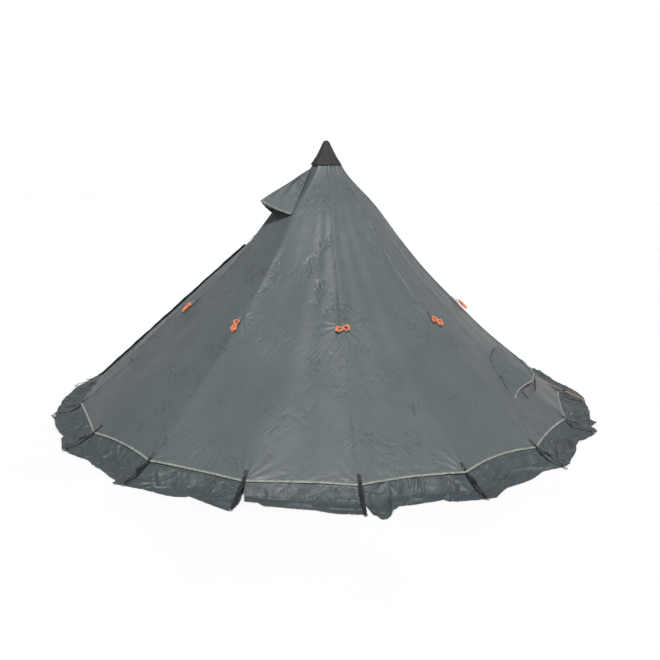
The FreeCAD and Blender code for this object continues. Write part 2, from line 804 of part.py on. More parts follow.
def pole_clamp():
    """Clamp collar round the middle tube's lower end, with two ears that hold the lever's pin."""
    x, y = LEVER_PIN
    z = MIDDLE_Z[0]
    body = Part.makeCylinder(COLLAR_R, COLLAR_H, V(0, 0, z))
    for low in (0.0, COLLAR_H - 6):
        ear = Part.makeBox(12, 16, 6, V(x - 6, y, z + low))
        body = body.fuse(ear).fuse(Part.makeCylinder(6, 6, V(x, y, z + low)))
    body = body.cut(Part.makeCylinder(POLE_R + 0.2, COLLAR_H + 2, V(0, 0, z - 1)))
    pin_bore = Part.makeCylinder(PIN_R, COLLAR_H + 2, V(x, y, z - 1))
    return body.cut(pin_bore).removeSplitter()


def clamp_pin():
    x, y = LEVER_PIN
    return Part.makeCylinder(PIN_R, COLLAR_H, V(x, y, MIDDLE_Z[0]))


def clamp_lever():
    """Flip lever between the collar's ears, closed along the collar's front."""
    x, y = LEVER_PIN
    z = MIDDLE_Z[0] + 6.3
    high = COLLAR_H - 12.6
    body = Part.makeCylinder(5.5, high, V(x, y, z))
    arm = Part.makeBox(44, 5, high, V(x, y - 5.5, z))
    bore = Part.makeCylinder(PIN_R + 0.1, high + 2, V(x, y, z - 1))
    return body.fuse(arm).cut(bore).removeSplitter()


def pole_joiner():
    """Sleeve inside the middle and upper tubes."""
    return tube(POLE_R - TUBE_T - 0.1, POLE_R - 2 * TUBE_T, MIDDLE_Z[1] - 90, MIDDLE_Z[1] + 90)


def pole_upper():
    return tube(POLE_R, POLE_R - TUBE_T, MIDDLE_Z[1] + 0.5, PLUG_Z)


def pole_plug():
    """Domed plug that seats in the cup under the cap."""
    stem = Part.makeCylinder(POLE_R - TUBE_T - 0.1, 34, V(0, 0, PLUG_Z - 33))
    head = Part.makeCylinder(POLE_R + 2, 34, V(0, 0, PLUG_Z + 0.5))
    dome = Part.makeSphere(POLE_R + 2, V(0, 0, PLUG_Z + 34.5))
    dome = dome.common(Part.makeCylinder(POLE_R + 4, 40, V(0, 0, PLUG_Z + 34)))
    return stem.fuse(head).fuse(dome).removeSplitter()


def pole_cup():
    """Sewn-in ring of webbing and plastic that centres the plug under the peak."""
    return tube(POLE_R + 5.5, POLE_R + 2.5, PLUG_Z + 4, PLUG_Z + 26)


def pole_foot():
    body = Part.makeCylinder(26, 10, V(0, 0, 0)).fuse(Part.makeCylinder(POLE_R + 3, 40, V(0, 0, 0)))
    return body.cut(Part.makeCylinder(SLIM_R + 0.1, 40, V(0, 0, 23.5))).removeSplitter()


# Write every piece

def main():
    for k in range(PANELS):
        if k == DOOR_PANEL:
            continue
        panel = wall_panel(k)
        if k == UPPER_VENT_PANEL:
            panel = panel.cut(window_prism(*UV_WINDOW))
        if k == GROUND_VENT_PANEL:
            panel = panel.cut(window_prism(*GV_WINDOW))
        save("wall_panel_%d" % (k + 1), panel)
    save("door_panel_upper", door_upper(), door_gusset("near"), door_gusset("far"))
    for side in ("near", "far"):
        save("door_side_" + side, door_side(side))
        save("door_flap_" + side, door_flap(side))
        save("door_zip_" + side, zip_half(side))
        save("flap_loop_" + side, flap_loop(side))
    save("door_storm_flap", storm_flap())
    save("tieback_toggles", tieback_toggle(1), tieback_toggle(-1))
    save("zip_slider", zip_slider())
    save("zip_puller", zip_puller())
    save("door_sill_strap", *sill_strap())
    save("upper_vent_hood", upper_hood())
    save("upper_vent_mesh", window_mesh(UPPER_VENT_PANEL, UV_WINDOW))
    save("upper_vent_strut", strut())
    save("strut_clip", strut_pivot())
    save("ground_vent_hood", ground_hood())
    save("vent_piping", *(upper_piping() + ground_piping()))
    save("ground_vent_mesh", window_mesh(GROUND_VENT_PANEL, GV_WINDOW))
    cord, cord_end, ahead, side = vent_cord()
    save("vent_guy_cord", cord)
    save("vent_cord_runner", vent_runner(cord_end, ahead, side))
    save("hem_binding", *hem_binding())
    for k in range(PANELS):
        save("storm_skirt_%d" % (k + 1), skirt_section(2 * k), skirt_section(2 * k + 1))
    pegs = [peg_ring_az(k) for k in range(PEGS)]
    seams = [seam_az(k) for k in range(PANELS)]
    door_peg = 2 * DOOR_PANEL + 1
    save("corner_webbing", *[at_azimuth(piece, az) for k, az in enumerate(pegs)
                             for piece in corner_webbing(k != door_peg)])
    save("ladder_lock_buckles", *[at_azimuth(ladder_lock(), az) for az in pegs])
    save("peg_straps", *[at_azimuth(peg_strap(), az) for az in pegs])
    save("peg_rings", *[at_azimuth(peg_ring(), az) for az in pegs])
    save("seam_tapes", *[at_azimuth(seam_tape(), az) for az in seams])
    save("guy_loops", *[at_azimuth(guy_loop(), az) for az in seams])
    save("guyline_hanks", *[at_azimuth(hank(turn), az) for turn, az in zip(HANK_TURNS, seams)])
    save("guyline_leads", *[at_azimuth(guy_lead(turn), az) for turn, az in zip(HANK_TURNS, seams)])
    save("top_cap", top_cap())
    save("pole_cup", pole_cup())
    save("pole_plug", pole_plug())
    save("pole_upper", pole_upper())
    save("pole_joiner", pole_joiner())
    save("pole_middle", pole_middle())
    save("pole_clamp", pole_clamp())
    save("clamp_pin", clamp_pin())
    save("clamp_lever", clamp_lever())
    save("pole_lower", pole_lower())
    save("pole_foot", pole_foot())


main()
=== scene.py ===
"""Looks of the teepee tent: cloth, cords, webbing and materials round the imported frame. Metres, +Z up."""
import math

import bmesh
import bpy
import numpy as np
from mathutils import Matrix, Vector


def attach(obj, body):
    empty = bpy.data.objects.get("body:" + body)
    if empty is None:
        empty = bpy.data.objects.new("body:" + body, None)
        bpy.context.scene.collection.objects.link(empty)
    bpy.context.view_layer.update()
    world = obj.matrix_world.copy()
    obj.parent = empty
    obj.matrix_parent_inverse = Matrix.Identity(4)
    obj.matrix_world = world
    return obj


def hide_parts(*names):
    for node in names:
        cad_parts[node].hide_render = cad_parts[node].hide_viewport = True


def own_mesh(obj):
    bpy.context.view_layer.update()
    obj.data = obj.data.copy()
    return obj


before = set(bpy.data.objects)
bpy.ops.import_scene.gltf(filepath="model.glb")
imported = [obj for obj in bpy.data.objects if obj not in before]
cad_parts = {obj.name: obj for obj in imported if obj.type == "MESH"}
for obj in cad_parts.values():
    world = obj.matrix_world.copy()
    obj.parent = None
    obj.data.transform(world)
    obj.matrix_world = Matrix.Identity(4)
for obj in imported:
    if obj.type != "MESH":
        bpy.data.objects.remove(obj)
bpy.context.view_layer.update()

scene = bpy.context.scene

# ---------------------------------------------------------------- driving dimensions, as in the CAD source
PANELS = 9
PEGS = 2 * PANELS
SPAN = 360.0 / PANELS
FIRST_SEAM = -73.7
HEM_Z = 0.100
SEAM_LINE = (
    (HEM_Z, 2.250), (0.388, 1.895), (0.676, 1.530), (0.964, 1.220), (1.254, 0.925),
    (1.542, 0.677), (1.830, 0.450), (2.142, 0.158), (2.186, 0.131),
)
CAP_Z = SEAM_LINE[-2][0]
HEM_R = SEAM_LINE[0][1]
TOP_R = 0.119  # CAD radius at the top of the seam line, which sets the mean slope of the cloth
GUY_Z = 0.966
DOOR_PANEL = PANELS - 1
ZIP_TOP_Z = SEAM_LINE[5][0]
PEG_R = 2.497
ROOT = "tent"


# ---------------------------------------------------------------- geometry helpers
def polar(az, r, z):
    a = math.radians(az)
    return np.array([r * math.sin(a), -r * math.cos(a), z])


def outward(az):
    return polar(az, 1.0, 0.0)


def tangent(az):
    a = math.radians(az)
    return np.array([math.cos(a), math.sin(a), 0.0])


def unit(v):
    return v / np.linalg.norm(v)


def seam_az(k):
    return FIRST_SEAM + SPAN * k


def peg_az(k):
    return FIRST_SEAM + SPAN / 2 * k


LINE_Z = np.array([z for z, r in SEAM_LINE])
LINE_R = np.array([r for z, r in SEAM_LINE])
LINE_SLOPE = np.gradient(LINE_R, LINE_Z)


def seam_radius(z):
    """Seam line as a smooth Hermite curve through its points."""
    z = np.asarray(z, float)
    i = np.clip(np.searchsorted(LINE_Z, z) - 1, 0, len(LINE_Z) - 2)
    h = LINE_Z[i + 1] - LINE_Z[i]
    t = (z - LINE_Z[i]) / h
    a = 2 * t ** 3 - 3 * t ** 2 + 1
    b = t ** 3 - 2 * t ** 2 + t
    c = -2 * t ** 3 + 3 * t ** 2
    d = t ** 3 - t ** 2
    return a * LINE_R[i] + b * h * LINE_SLOPE[i] + c * LINE_R[i + 1] + d * h * LINE_SLOPE[i + 1]


def crease_share(z):
    """Radius of a panel's middle over that of its seams."""
    low = np.clip(1 - (np.asarray(z, float) - HEM_Z) / (CAP_Z - HEM_Z), 0, 1)
    flat = math.cos(math.radians(SPAN / 2))
    return flat + (1 - flat) * low ** 1.5


def wall(k, s, z):
    """Points of panel k without wrinkles: s from -1 at its first seam to 1 at its second."""
    s, z = np.broadcast_arrays(np.asarray(s, float), np.asarray(z, float))
    r = seam_radius(z)
    middle = r * crease_share(z)
    soft = 0.05 + 0.35 * np.clip((z - HEM_Z) / 1.4, 0, 1)
    bend = np.sqrt(s * s + soft * soft) - soft
    bend = bend / (np.sqrt(1 + soft * soft) - soft)
    half = math.radians(SPAN / 2)
    side = np.where(s >= 0, 1.0, -1.0)
    along = (r * math.sin(half)) * side * np.abs(s)
    out = middle + (r * math.cos(half) - middle) * bend
    a = math.radians(seam_az(k) + SPAN / 2)
    x = out * math.sin(a) + along * math.cos(a)
    y = -out * math.cos(a) + along * math.sin(a)
    return np.stack([x, y, z], axis=-1)


# How far each hem span is pulled up between its two pegs, from the door's near peg round the tent
HEM_RISE = (0.004, 0.016, 0.004, 0.006, 0.012, 0.027, 0.014, 0.012, 0.016, 0.010, 0.018, 0.008,
            0.014, 0.010, 0.017, 0.009, 0.006, 0.005)


def hem_height(k, s):
    """Height of the hem of panel k, which rises between the pegging points."""
    s = np.asarray(s, float)
    first = s < 0
    t = np.where(first, s + 1, s)
    rise = np.where(first, HEM_RISE[2 * k], HEM_RISE[2 * k + 1])
    return HEM_Z + rise * 4 * t * (1 - t)


def waves(x, y, length, seed, count=14, spread=1.0):
    """Smooth band of noise: a sum of plane waves about that length, in random directions."""
    r = np.random.default_rng(seed)
    total = np.zeros(np.broadcast(x, y).shape)
    for _ in range(count):
        turn = r.uniform(-math.pi, math.pi) * spread
        pitch = 2 * math.pi / (length * r.uniform(0.7, 1.5))
        total += np.cos((x * math.cos(turn) + y * math.sin(turn)) * pitch + r.uniform(0, 2 * math.pi))
    return total * math.sqrt(2.0 / count)


def new_mesh(name, verts, faces, smooth=True, uvs=None):
    mesh = bpy.data.meshes.new(name)
    mesh.from_pydata([tuple(v) for v in verts], [], [tuple(f) for f in faces])
    if uvs is not None:
        layer = mesh.uv_layers.new(name="cloth")
        index = np.zeros(len(mesh.loops), np.int32)
        mesh.loops.foreach_get("vertex_index", index)
        layer.data.foreach_set("uv", np.asarray(uvs, np.float32)[index].ravel())
    mesh.validate()
    if smooth:
        mesh.polygons.foreach_set("use_smooth", [True] * len(mesh.polygons))
    obj = bpy.data.objects.new(name, mesh)
    scene.collection.objects.link(obj)
    return obj


def grid(name, points, uvs=None, closed=False, smooth=True):
    """A mesh from an array of points [rows, columns, 3]."""
    rows, cols = points.shape[:2]
    faces = []
    for i in range(rows - 1):
        for j in range(cols if closed else cols - 1):
            j2 = (j + 1) % cols
            faces.append((i * cols + j, i * cols + j2, (i + 1) * cols + j2, (i + 1) * cols + j))
    flat_uv = None if uvs is None else uvs.reshape(-1, 2)
    return new_mesh(name, points.reshape(-1, 3), faces, smooth, flat_uv)


def sampled(point, cols, rows):
    """Grid of points of a surface given by t from -1 to 1 and v from 0 to 1."""
    return np.array([[point(-1 + 2 * j / (cols - 1), i / (rows - 1)) for j in range(cols)]
                     for i in range(rows)])


def finish_modifiers(obj):
    """Apply every modifier, so that the mesh is the final one."""
    deps = bpy.context.evaluated_depsgraph_get()
    mesh = bpy.data.meshes.new_from_object(obj.evaluated_get(deps))
    old = obj.data
    obj.modifiers.clear()
    obj.data = mesh
    bpy.data.meshes.remove(old)


def thicken(obj, thickness, offset=-1.0):
    m = obj.modifiers.new("cloth", "SOLIDIFY")
    m.thickness = thickness
    m.offset = offset
    m.use_even_offset = False
    finish_modifiers(obj)


def normals_of(points):
    du = np.gradient(points, axis=1)
    dv = np.gradient(points, axis=0)
    n = np.cross(du, dv)
    return n / np.maximum(np.linalg.norm(n, axis=-1, keepdims=True), 1e-12)


def lengths_along(points, axis):
    """Running length along an axis of a grid of points."""
    step = np.linalg.norm(np.diff(points, axis=axis), axis=-1)
    total = np.cumsum(step, axis=axis)
    pad = [(0, 0)] * total.ndim
    pad[axis] = (1, 0)
    return np.pad(total, pad)


class Batch:
    """Collects several closed strips into one mesh."""

    def __init__(self):
        self.verts, self.faces, self.uvs = [], [], []

    def sweep(self, path, normals, profile, closed=False):
        """Carries a closed profile of (across, out) points along a path whose out direction is given."""
        path = np.asarray(path, float)
        normals = np.broadcast_to(np.asarray(normals, float), path.shape)
        ahead = np.gradient(path, axis=0)
        if closed:
            ahead = np.roll(path, -1, axis=0) - np.roll(path, 1, axis=0)
        ahead /= np.linalg.norm(ahead, axis=1, keepdims=True)
        across = np.cross(ahead, normals)
        across /= np.linalg.norm(across, axis=1, keepdims=True)
        out = np.cross(across, ahead)
        profile = np.asarray(profile, float)
        m, n, base = len(profile), len(path), len(self.verts)
        run = np.concatenate([[0], np.cumsum(np.linalg.norm(np.diff(path, axis=0), axis=1))])
        for i in range(n):
            for a, o in profile:
                self.verts.append(path[i] + across[i] * a + out[i] * o)
                self.uvs.append((a + o, run[i]))
        for i in range(n if closed else n - 1):
            i2 = (i + 1) % n
            for j in range(m):
                j2 = (j + 1) % m
                low, high = base + i * m, base + i2 * m
                self.faces.append((low + j, low + j2, high + j2, high + j))
        if not closed:
            self.faces.append(tuple(base + j for j in range(m))[::-1])
            self.faces.append(tuple(base + (n - 1) * m + j for j in range(m)))

    def build(self, name):
        obj = new_mesh(name, self.verts, self.faces, True, np.array(self.uvs))
        fix = bmesh.new()
        fix.from_mesh(obj.data)
        bmesh.ops.recalc_face_normals(fix, faces=fix.faces)
        fix.to_mesh(obj.data)
        fix.free()
        return obj


def flat_profile(width, thickness):
    """Webbing or tape: a flat section with rounded edges."""
    w, t = width / 2, thickness / 2
    return [(-w, 0), (-w + t * 0.6, t), (-w / 2, t), (0, t), (w / 2, t), (w - t * 0.6, t),
            (w, 0), (w - t * 0.6, -t), (0, -t), (-w + t * 0.6, -t)]


def round_profile(radius, sides=10, squeeze=1.0):
    turns = [2 * math.pi * i / sides for i in range(sides)]
    return [(radius * math.cos(a), radius * squeeze * math.sin(a)) for a in turns]


def smooth_path(points, count):
    """A Catmull-Rom curve through a few points."""
    p = np.asarray(points, float)
    p = np.vstack([2 * p[0] - p[1], p, 2 * p[-1] - p[-2]])
    spans = len(p) - 3
    out = []
    for u in np.linspace(0, spans, count):
        i = min(int(u), spans - 1)
        t = u - i
        a, b, c, d = p[i:i + 4]
        out.append(0.5 * (2 * b + (c - a) * t + (2 * a - 5 * b + 4 * c - d) * t ** 2
                          + (3 * b - a - 3 * c + d) * t ** 3))
    return np.array(out)


# ---------------------------------------------------------------- materials
def node_material(name, rough, metallic=0.0, sheen=0.0):
    mat = bpy.data.materials.new(name)
    mat.use_nodes = True
    bsdf = mat.node_tree.nodes["Principled BSDF"]
    bsdf.inputs["Metallic"].default_value = metallic
    bsdf.inputs["Roughness"].default_value = rough
    if sheen:
        bsdf.inputs["Sheen Weight"].default_value = sheen
        bsdf.inputs["Sheen Roughness"].default_value = 0.5
    return mat, mat.node_tree, bsdf


def coordinates(tree, kind):
    node = tree.nodes.new("ShaderNodeTexCoord")
    return node.outputs[kind]


def noise(tree, where, scale, detail=3.0, rough=0.55):
    node = tree.nodes.new("ShaderNodeTexNoise")
    node.inputs["Scale"].default_value = scale
    node.inputs["Detail"].default_value = detail
    node.inputs["Roughness"].default_value = rough
    tree.links.new(where, node.inputs["Vector"])
    return node.outputs["Fac"]


def bands(tree, where, period, direction):
    """Sine bands of that period, in metres."""
    node = tree.nodes.new("ShaderNodeTexWave")
    node.wave_type = "BANDS"
    node.bands_direction = direction
    node.inputs["Scale"].default_value = math.pi / 10 / period
    tree.links.new(where, node.inputs["Vector"])
    return node.outputs["Fac"]


def ramp(tree, value, stops):
    """A colour ramp: stops are (position, colour)."""
    node = tree.nodes.new("ShaderNodeValToRGB")
    while len(node.color_ramp.elements) < len(stops):
        node.color_ramp.elements.new(0.5)
    for element, (position, colour) in zip(node.color_ramp.elements, stops):
        element.position = position
        element.color = (*colour, 1.0)
    tree.links.new(value, node.inputs["Fac"])
    return node.outputs["Color"]


def math_node(tree, operation, a, b):
    node = tree.nodes.new("ShaderNodeMath")
    node.operation = operation
    for socket, value in zip(node.inputs, (a, b)):
        if isinstance(value, (int, float)):
            socket.default_value = value
        else:
            tree.links.new(value, socket)
    return node.outputs[0]


def multiply_colour(tree, a, b):
    node = tree.nodes.new("ShaderNodeMix")
    node.data_type = "RGBA"
    node.blend_type = "MULTIPLY"
    node.inputs["Factor"].default_value = 1.0
    tree.links.new(a, node.inputs[6])
    tree.links.new(b, node.inputs[7])
    return node.outputs[2]


def bump(tree, bsdf, layers):
    """Adds bump layers, each (height, distance in metres, strength)."""
    previous = None
    for height, distance, strength in layers:
        node = tree.nodes.new("ShaderNodeBump")
        node.inputs["Distance"].default_value = distance
        node.inputs["Strength"].default_value = strength
        tree.links.new(height, node.inputs["Height"])
        if previous is not None:
            tree.links.new(previous, node.inputs["Normal"])
        previous = node.outputs["Normal"]
    tree.links.new(previous, bsdf.inputs["Normal"])


def shade(colour, factor):
    return tuple(c * factor for c in colour)


def grey(level):
    return (level,) * 3


def mottled(tree, place, scale, colour, low, high):
    """A colour that wavers between a darker and a lighter shade of itself."""
    return ramp(tree, noise(tree, place, scale), ((0.3, shade(colour, low)), (0.7, shade(colour, high))))


def vary_gloss(tree, bsdf, value, low, high):
    """Roughness that wavers between two levels."""
    tree.links.new(ramp(tree, value, ((0.3, grey(low)), (0.7, grey(high)))), bsdf.inputs["Roughness"])


def creases(tree, cloth, place, angle, fine, long, patch):
    """Narrow creases that run one way, in patches: heights for the bumps, and the mask of the painted shade
    along the folds.
    """
    turn = tree.nodes.new("ShaderNodeMapping")
    turn.inputs["Rotation"].default_value = (0, 0, angle)
    tree.links.new(cloth, turn.inputs["Vector"])
    stretch = tree.nodes.new("ShaderNodeMapping")
    stretch.inputs["Scale"].default_value = (fine, long, 1.0)
    tree.links.new(turn.outputs["Vector"], stretch.inputs["Vector"])
    wave = noise(tree, stretch.outputs["Vector"], 1.0, 2.0, 0.5)
    centred = math_node(tree, "SUBTRACT", math_node(tree, "MULTIPLY", wave, 2.0), 1.0)
    ridge = math_node(tree, "ABSOLUTE", centred, 0.0)
    ridge = math_node(tree, "POWER", math_node(tree, "SUBTRACT", 1.0, ridge), 12.0)
    mask = ramp(tree, noise(tree, place, patch, 2.0), ((0.50, grey(0.0)), (0.66, grey(1.0))))
    return math_node(tree, "MULTIPLY", ridge, mask)


def cloth_material(name, colour, rough, sheen, crinkle, rib=0.006, mapped="UV", vary=0.09):
    """Coated ripstop: thread ribs, a fine weave, soft creases with painted shade along them, and uneven dye.
    """
    mat, tree, bsdf = node_material(name, rough, sheen=sheen)
    cloth = coordinates(tree, mapped)
    place = coordinates(tree, "Object")
    tone = ramp(tree, noise(tree, place, 2.2, 4.0), (
        (0.30, shade(colour, 1 - vary)), (0.55, colour), (0.75, shade(colour, 1 + vary))))
    speck = ramp(tree, noise(tree, place, 55.0, 2.0), ((0.35, grey(0.94)), (0.65, grey(1.0))))
    ribs = math_node(tree, "MAXIMUM", bands(tree, cloth, rib, "X"), bands(tree, cloth, rib, "Y"))
    ribs = math_node(tree, "POWER", ribs, 9.0)
    lines = ramp(tree, ribs, ((0.0, grey(1.0)), (1.0, grey(0.88))))
    steep = creases(tree, cloth, place, 0.55, 24.0, 5.0, 2.3)
    level = creases(tree, cloth, place, -0.95, 17.0, 6.0, 2.9)
    # Painted shade: the cloth's colour darkens to 0.66 along the creases, where fold shadows fall.
    folded = ramp(tree, math_node(tree, "MAXIMUM", steep, level), ((0.25, grey(1.0)), (1.0, grey(0.66))))
    base = multiply_colour(tree, multiply_colour(tree, tone, speck), lines)
    base = multiply_colour(tree, base, folded)
    tree.links.new(base, bsdf.inputs["Base Color"])
    weave = math_node(tree, "MULTIPLY", bands(tree, cloth, 0.0009, "X"), bands(tree, cloth, 0.0009, "Y"))
    bump(tree, bsdf, (
        (steep, -0.010, 0.85 * crinkle),
        (level, -0.010, 0.45 * crinkle),
        (noise(tree, place, 26.0, 4.0, 0.6), 0.0030, 0.6 * crinkle),
        (ribs, 0.0002, 0.5),
        (weave, 0.0001, 0.3),
    ))
    vary_gloss(tree, bsdf, noise(tree, place, 9.0), rough - 0.06, rough + 0.06)
    return mat


def webbing_material(name, colour, rough=0.75, pitch=0.0022):
    """Woven tape: cross ribs with painted shade in their grooves, edge cords and slight fading."""
    mat, tree, bsdf = node_material(name, rough, sheen=0.15)
    cloth = coordinates(tree, "UV")
    place = coordinates(tree, "Object")
    ribs = bands(tree, cloth, pitch, "Y")
    edge = bands(tree, cloth, pitch * 2, "DIAGONAL")
    mixed = math_node(tree, "MULTIPLY", ribs, edge)
    tone = mottled(tree, place, 30.0, colour, 0.75, 1.3)
    # Painted shade: the colour darkens to 0.7 in the low parts of the weave, where its grooves are shaded.
    dark = ramp(tree, mixed, ((0.0, grey(0.7)), (0.6, grey(1.0))))
    tree.links.new(multiply_colour(tree, tone, dark), bsdf.inputs["Base Color"])
    bump(tree, bsdf, ((mixed, 0.0005, 0.7), (noise(tree, place, 400.0), 0.0002, 0.4)))
    return mat


def cord_material(name, colour):
    """Braided cord: a fine diagonal plait with painted shade in its grooves, and flecks."""
    mat, tree, bsdf = node_material(name, 0.6, sheen=0.2)
    place = coordinates(tree, "Object")
    plait = math_node(tree, "MULTIPLY", bands(tree, place, 0.0022, "DIAGONAL"),
                      bands(tree, place, 0.0022, "Z"))
    tone = mottled(tree, place, 90.0, colour, 0.72, 1.12)
    # Painted shade: the colour darkens to 0.72 in the grooves of the plait.
    dark = ramp(tree, plait, ((0.0, grey(0.72)), (0.5, grey(1.0))))
    tree.links.new(multiply_colour(tree, tone, dark), bsdf.inputs["Base Color"])
    bump(tree, bsdf, ((plait, 0.0006, 0.8),))
    return mat


def plastic_material(name, colour, rough):
    mat, tree, bsdf = node_material(name, rough)
    place = coordinates(tree, "Object")
    tone = mottled(tree, place, 45.0, colour, 0.85, 1.25)
    tree.links.new(tone, bsdf.inputs["Base Color"])
    bump(tree, bsdf, ((noise(tree, place, 900.0, 2.0), 0.0002, 0.35),))
    vary_gloss(tree, bsdf, noise(tree, place, 70.0), rough - 0.08, rough + 0.08)
    return mat


def metal_material(name, colour, rough, grain):
    """Drawn or plated metal with fine marks along its length and slightly uneven polish."""
    mat, tree, bsdf = node_material(name, rough, metallic=1.0)
    place = coordinates(tree, "Object")
    stretch = tree.nodes.new("ShaderNodeMapping")
    stretch.inputs["Scale"].default_value = (1.0, 1.0, 0.03)
    tree.links.new(place, stretch.inputs["Vector"])
    marks = noise(tree, stretch.outputs["Vector"], 700.0, 2.0)
    tone = mottled(tree, place, 20.0, colour, 0.88, 1.05)
    tree.links.new(tone, bsdf.inputs["Base Color"])
    bump(tree, bsdf, ((marks, 0.0002, grain),))
    vary_gloss(tree, bsdf, marks, rough - 0.07, rough + 0.1)
    return mat


def mesh_material(name):
    """Fine insect mesh: dark threads, with painted shade in the cells between them for the dim inside seen
    through the holes.
    """
    mat, tree, bsdf = node_material(name, 0.7)
    place = coordinates(tree, "Object")
    cells = math_node(tree, "MAXIMUM", bands(tree, place, 0.0024, "X"), bands(tree, place, 0.0024, "Z"))
    cells = math_node(tree, "POWER", cells, 3.0)
    # Painted shade: the holes between the threads are coloured darker, for the dim inside of the tent seen
    # through them.
    tone = ramp(tree, cells, ((0.0, (0.060, 0.057, 0.056)), (1.0, (0.125, 0.120, 0.118))))
    tree.links.new(tone, bsdf.inputs["Base Color"])
    bump(tree, bsdf, ((cells, 0.0006, 0.8), (noise(tree, place, 30.0), 0.002, 0.3)))
    return mat


WALL = cloth_material("wall_ripstop", (0.0745, 0.0885, 0.0905), 0.50, 0.03, 0.30)
LINING = cloth_material("wall_ripstop_flaps", (0.0700, 0.0850, 0.0880), 0.52, 0.03, 0.35)
SKIRT = cloth_material("skirt_cloth", (0.048, 0.061, 0.067), 0.56, 0.03, 0.50, rib=0.008, vary=0.14)
CAP = cloth_material("cap_canvas", (0.016, 0.0158, 0.0168), 0.75, 0.0, 0.35, rib=0.0016, vary=0.12)
SEAM = cloth_material("seam_ripstop", (0.078, 0.092, 0.095), 0.52, 0.03, 0.20)
BLACK_WEB = webbing_material("black_webbing", (0.005, 0.005, 0.0055), 0.85)
GREY_TAPE = webbing_material("grey_binding", (0.21, 0.232, 0.205), 0.62, 0.0016)
GREY_LOOP = webbing_material("grey_loop", (0.24, 0.255, 0.25), 0.6, 0.0016)
ORANGE = cord_material("orange_braid", (0.86, 0.27, 0.110))
BLACK_CORD = cord_material("black_elastic", (0.02, 0.02, 0.022))
PLASTIC = plastic_material("black_moulding", (0.018, 0.018, 0.019), 0.42)
ZIP = plastic_material("zip_coil", (0.02, 0.02, 0.021), 0.5)
RUBBER = plastic_material("black_rubber", (0.025, 0.025, 0.025), 0.75)
ALUMINIUM = metal_material("anodised_tube", (0.70, 0.71, 0.73), 0.32, 0.35)
STEEL = metal_material("plated_steel", (0.55, 0.55, 0.56), 0.28, 0.25)
MESH = mesh_material("insect_mesh")


def paint(obj, mat):
    obj.data.materials.clear()
    obj.data.materials.append(mat)


def fit_out(obj, mat, slot, body, *nodes):
    """Material, body and CAD nodes of one piece; the slot argument is not used."""
    paint(obj, mat)
    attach(obj, body)
    if nodes:
        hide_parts(*nodes)
    return obj


# ---------------------------------------------------------------- walls
CLOTH = 0.0012
PANEL_TOP = 2.206
COLS, ROWS = 145, 290


def folds(across, up, angle, length, seed, count=7, spread=0.35):
    """Noise whose waves all run close to one direction."""
    r = np.random.default_rng(seed)
    total = np.zeros(across.shape)
    for _ in range(count):
        turn = angle + r.uniform(-spread, spread)
        pitch = 2 * math.pi / (length * r.uniform(0.75, 1.35))
        total += np.cos((across * math.cos(turn) + up * math.sin(turn)) * pitch + r.uniform(0, 2 * math.pi))
    return total * math.sqrt(2.0 / count)


def sharp(f, width=0.8):
    """Turns noise into narrow creases."""
    return np.maximum(0.0, 1 - np.abs(f) / width) ** 2


def fan(across, up, x0, y0, lobes, reach, seed):
    """Folds that radiate from one pulled point."""
    r = np.random.default_rng(seed)
    dx, dy = across - x0, up - y0
    far = np.hypot(dx, dy)
    turn = np.arctan2(dx, dy)
    wave = np.cos(lobes * turn + r.uniform(0, 6.3)) + 0.6 * np.cos((lobes + 4) * turn + r.uniform(0, 6.3))
    return wave * np.exp(-far / reach) * np.clip(far / (0.25 * reach), 0, 1)


def band(z, low, high, soft=0.12):
    return 1 / (1 + np.exp(-(z - low) / soft)) / (1 + np.exp((z - high) / soft))


# Puckers beside the seams: (panel, side, lowest z, highest z, reach from the seam, depth, fold length, angle)
PUCKERS = (
    (1, 1, 1.25, 2.05, 0.120, 0.0132, 0.075, 0.50),
    (1, 1, 0.95, 1.55, 0.300, 0.0116, 0.085, 0.42),
    (1, 1, 0.98, 1.62, 0.240, 0.0060, 0.120, 0.62),
    (1, 1, 1.02, 1.70, 0.330, 0.0035, 0.060, 0.20),
    (1, 1, 0.85, 1.30, 0.420, 0.0053, 0.050, 0.30),
    (2, 1, 1.30, 1.95, 0.100, 0.0059, 0.040, 0.75),
    (2, 1, 0.90, 1.40, 0.190, 0.0062, 0.044, 0.80),
    (2, -1, 0.20, 0.95, 0.110, 0.0040, 0.050, 1.20),
    (0, 1, 0.25, 1.05, 0.110, 0.0078, 0.060, 0.45),
    (0, 1, 0.95, 1.70, 0.080, 0.0062, 0.045, 0.50),
    (0, -1, 0.12, 0.80, 0.330, 0.0071, 0.100, 0.05),
    (1, -1, 0.90, 1.75, 0.100, 0.0056, 0.050, 2.40),
    (1, -1, 0.15, 0.70, 0.300, 0.0047, 0.075, 1.25),
    (2, 1, 0.15, 0.60, 0.330, 0.0056, 0.060, 1.20),
    (3, -1, 0.55, 0.95, 0.160, 0.0053, 0.050, 2.30),
    (3, -1, 0.10, 0.33, 0.900, 0.0093, 0.060, 0.25),
    (3, 1, 0.10, 0.33, 0.700, 0.0078, 0.060, 2.90),
    (3, 1, 0.60, 1.60, 0.120, 0.0062, 0.060, 0.60),
    (4, -1, 0.90, 1.90, 0.130, 0.0068, 0.060, 2.50),
    (4, 1, 0.40, 1.30, 0.150, 0.0062, 0.060, 0.60),
    (5, -1, 0.60, 1.70, 0.140, 0.0085, 0.070, 2.45),
    (5, 1, 0.30, 1.10, 0.150, 0.0059, 0.055, 0.80),
    (6, -1, 0.80, 1.80, 0.130, 0.0071, 0.060, 2.35),
    (6, 1, 0.80, 1.60, 0.170, 0.0101, 0.075, 0.55),
    (7, -1, 0.30, 1.20, 0.150, 0.0062, 0.060, 2.20),
    (7, 1, 0.40, 1.50, 0.130, 0.0062, 0.060, 0.60),
)
CRINKLES = (0.6, 0.75, 2.1, 1.9, 0.7, 2.3, 0.9, 2.2, 0.8)  # way the fine creases of each panel run


